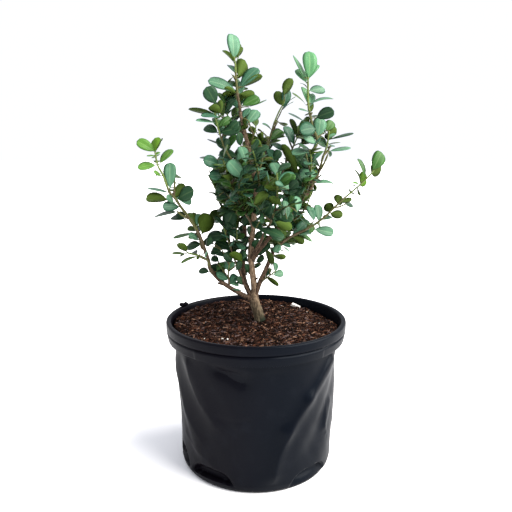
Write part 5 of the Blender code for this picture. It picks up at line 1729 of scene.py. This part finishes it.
def blade_grid(leaf_list, chance):
    """Points of many leaves, as arrays of leaves by points by axes. The midrib is an arc that bends back,
    the sides rise in a shallow V and curl down at the margins, and the blade twists along its length."""
    count = len(leaf_list)
    vectors = np.array([[tuple(leaf.root), tuple(leaf.along), tuple(leaf.face)] for leaf in leaf_list])
    root, along, face = vectors[:, 0:1], vectors[:, 1:2], vectors[:, 2:3]
    across = np.cross(along, face)
    length = np.array([leaf.length for leaf in leaf_list])[:, None]
    width = np.array([leaf.width for leaf in leaf_list])[:, None] * chance.uniform(*WIDTH_PLAY, (count, 1))
    bend = np.abs(chance.normal(*BEND, (count, 1))) + LEAST_BEND
    lift = np.array([bool(leaf.tint) for leaf in leaf_list])[:, None] * bend / 2
    along, face = (
        along * np.cos(lift)[..., None] + face * np.sin(lift)[..., None],
        face * np.cos(lift)[..., None] - along * np.sin(lift)[..., None],
    )
    fold = chance.uniform(*FOLD, (count, 1))
    curl = chance.uniform(*CURL, (count, 1))
    twist = chance.normal(0, BLADE_TWIST, (count, 1))
    sway = chance.normal(0, SWAY, (count, 1))
    upper_t = np.repeat(LEAF_ROWS, len(LEAF_COLUMNS))
    upper_u = np.tile(LEAF_COLUMNS, len(LEAF_ROWS))
    t = np.concatenate([upper_t, [1.0], LEAF_ROWS])[None, :]
    u = np.concatenate([upper_u, [0.0], np.zeros(len(LEAF_ROWS))])[None, :]
    under = np.concatenate([np.zeros(len(upper_t) + 1), np.ones(len(LEAF_ROWS))])[None, :]
    half = np.maximum(width / 2 * blade_width(t), STALK_WIDTH * (t < 0.9) * (1 - 0.3 * t))
    side = u * half
    blade = smooth_step(t, 0.05, 0.3)
    rise = np.abs(side) * fold * blade - curl * u * u * half * blade * CURL_DEPTH
    rise = rise - under * LEAF_THICKNESS * (0.5 + 0.5 * blade * np.clip(1.4 - t, 0, 1))
    angle = bend * t
    middle_x = length * np.sin(angle) / bend
    middle_z = -length * (1 - np.cos(angle)) / bend
    turn = twist * t
    y = side * np.cos(turn) - rise * np.sin(turn) + sway * length * t * t
    off = side * np.sin(turn) + rise * np.cos(turn)
    x = middle_x + off * np.sin(angle)
    z = middle_z + off * np.cos(angle)
    return root + along * x[..., None] + across * y[..., None] + face * z[..., None]


def blade_faces():
    """One leaf's faces and their colours: 0 above, 1 midrib, 2 below."""
    rows, columns = len(LEAF_ROWS), len(LEAF_COLUMNS)
    tip = rows * columns
    faces, slots = [], []
    for r in range(rows - 1):
        for c in range(columns - 1):
            low = r * columns + c
            faces.append((low, low + 1, low + columns + 1, low + columns))
            slots.append(1 if c == 2 else 0)
    last = (rows - 1) * columns
    for c in range(columns - 1):
        faces.append((last + c, last + c + 1, tip))
        slots.append(0)
    for r in range(rows - 1):
        keel, next_keel = tip + 1 + r, tip + 2 + r
        left, next_left = r * columns, (r + 1) * columns
        right, next_right = left + columns - 1, next_left + columns - 1
        faces += [(left, next_left, next_keel, keel), (keel, next_keel, next_right, right)]
        slots += [2, 2]
    faces += [(last, tip, tip + rows), (tip + rows, tip, last + columns - 1)]
    slots += [2, 2]
    faces.append(tuple(range(columns - 1, -1, -1)) + (tip + 1,))
    slots.append(2)
    return faces, slots


# Each tint's colours above, on the midrib and below, and the skins that they go on: roughness, specular
# and how far the colour spreads
LEAF_SKINS = {"leaf": (0.30, 0.10, 0.42), "midrib": (0.35, 0.10, 0.20), "underside": (0.6, 0.03, 0.35)}
# Of these tints, pale is a painted sheen and deep is painted shade.
LEAF_TINTS = {
    "deep": ((0.014, 0.041, 0.018), (0.032, 0.066, 0.028), (0.028, 0.048, 0.011)),
    "pale_sheen": ((0.066, 0.155, 0.089), (0.113, 0.212, 0.123), (0.050, 0.088, 0.028)),
    "blue": ((0.033, 0.095, 0.054), (0.062, 0.133, 0.077), (0.040, 0.070, 0.018)),
    "green": ((0.030, 0.084, 0.018), (0.056, 0.118, 0.034), (0.042, 0.072, 0.010)),
    "olive": ((0.040, 0.076, 0.014), (0.070, 0.112, 0.026), (0.044, 0.074, 0.013)),
    "young": ((0.064, 0.150, 0.026), (0.100, 0.200, 0.045), (0.070, 0.150, 0.015)),
    # New growth with a painted sheen on it.
    "fresh_with_sheen": ((0.060, 0.165, 0.070), (0.110, 0.230, 0.100), (0.070, 0.160, 0.020)),
}


def leaf_finish(name, colour, roughness, specular, spread):
    """A leaf's skin: its plain tint with a painted sheen that makes it lighter towards the tip than at the
    foot, lighter on some leaves than on others, with faint mottling and small bumps between the veins."""
    material, shader, shade = new_finish(name, roughness=roughness, specular=specular)
    patches = cloud(shade, object_place(shade), 240, detail=2).between(0.3, 0.7)
    height = shade.node("ShaderNodeAttribute", {"attribute_name": "leaf_height"}, output=2)
    fairness = shade.node("ShaderNodeAttribute", {"attribute_name": "leaf_fairness"}, output=2)
    # The share along the leaf paints a sheen that grows lighter towards the tip.
    share = patches * 0.2 + height * 0.3 + fairness * 0.5
    feed(shader, "Base Color", share.mixed(*around(colour, 1 - spread, 1 + spread)))
    grit = cloud(shade, object_place(shade), 1400, detail=1)
    feed(shader, "Normal", bumped(shade, grit, 0.00008, 0.5))
    return material


# The tips that are bright or olive, by height and by distance from the middle, and the shares of the other
# sprays up to which each tint is dealt out
YOUNG_ABOVE = {"left_arm": 0.272, "right_leader": 0.342}
OLIVE_BEYOND = {"right_arm": 0.09, "left_sprig": 0.09}
# Dealt out at random, the deep tint is a darker tone between sprays as well as painted shade, and the pale
# tint a painted sheen.
TINT_LIMITS = {"deep": 0.40, "blue": 0.65, "pale_sheen": 0.72, "green": 0.92, "olive": 1}
SPRAY_PLAY = 0.22


def leaf_tint(leaf, chance_value):
    """Each spray's tint: bright on the newest tips of the left arm and the right leader, mixed elsewhere."""
    if leaf.tint:
        return leaf.tint
    tip = leaf.root + leaf.along * leaf.length
    if tip.z > YOUNG_ABOVE.get(leaf.mass, math.inf):
        return "young"
    if abs(tip.x) > OLIVE_BEYOND.get(leaf.mass, math.inf):
        return "olive"
    return next(tint for tint, limit in TINT_LIMITS.items() if chance_value < limit)


spray_chance = {}
tinted = {tint: [] for tint in LEAF_TINTS}
dice = random.Random(5)
for leaf in leaves + small_leaves:
    key = (leaf.mass, leaf.spray)
    if key not in spray_chance:
        spray_chance[key] = dice.random()
    own = min(0.999, max(0, spray_chance[key] + dice.uniform(-SPRAY_PLAY, SPRAY_PLAY)))
    tinted[leaf_tint(leaf, own)].append(leaf)

one_leaf, one_slots = blade_faces()
leaf_heights = np.concatenate([np.repeat(LEAF_ROWS, len(LEAF_COLUMNS)), [1.0], LEAF_ROWS])
points_in_leaf = len(leaf_heights)
chance = np.random.default_rng(23)
for tint, group in tinted.items():
    grids = blade_grid(group, chance)
    faces = [tuple(i * points_in_leaf + p for p in face) for i in range(len(group)) for face in one_leaf]
    skins = [
        leaf_finish(f"{tint}_{part}", colour, *LEAF_SKINS[part])
        for part, colour in zip(LEAF_SKINS, LEAF_TINTS[tint])
    ]
    blades = lay_mesh(tint + "_leaves", grids, faces, skins, one_slots * len(group))
    fairness = chance.uniform(0, 1, (len(group), 1)) + 0 * leaf_heights
    for mark, values in (("leaf_height", leaf_heights + 0 * fairness), ("leaf_fairness", fairness)):
        blades.data.attributes.new(mark, "FLOAT", "POINT").data.foreach_set("value", values.ravel())
    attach(blades, "root")
    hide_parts(*sorted({leaf.mass for leaf in group}))
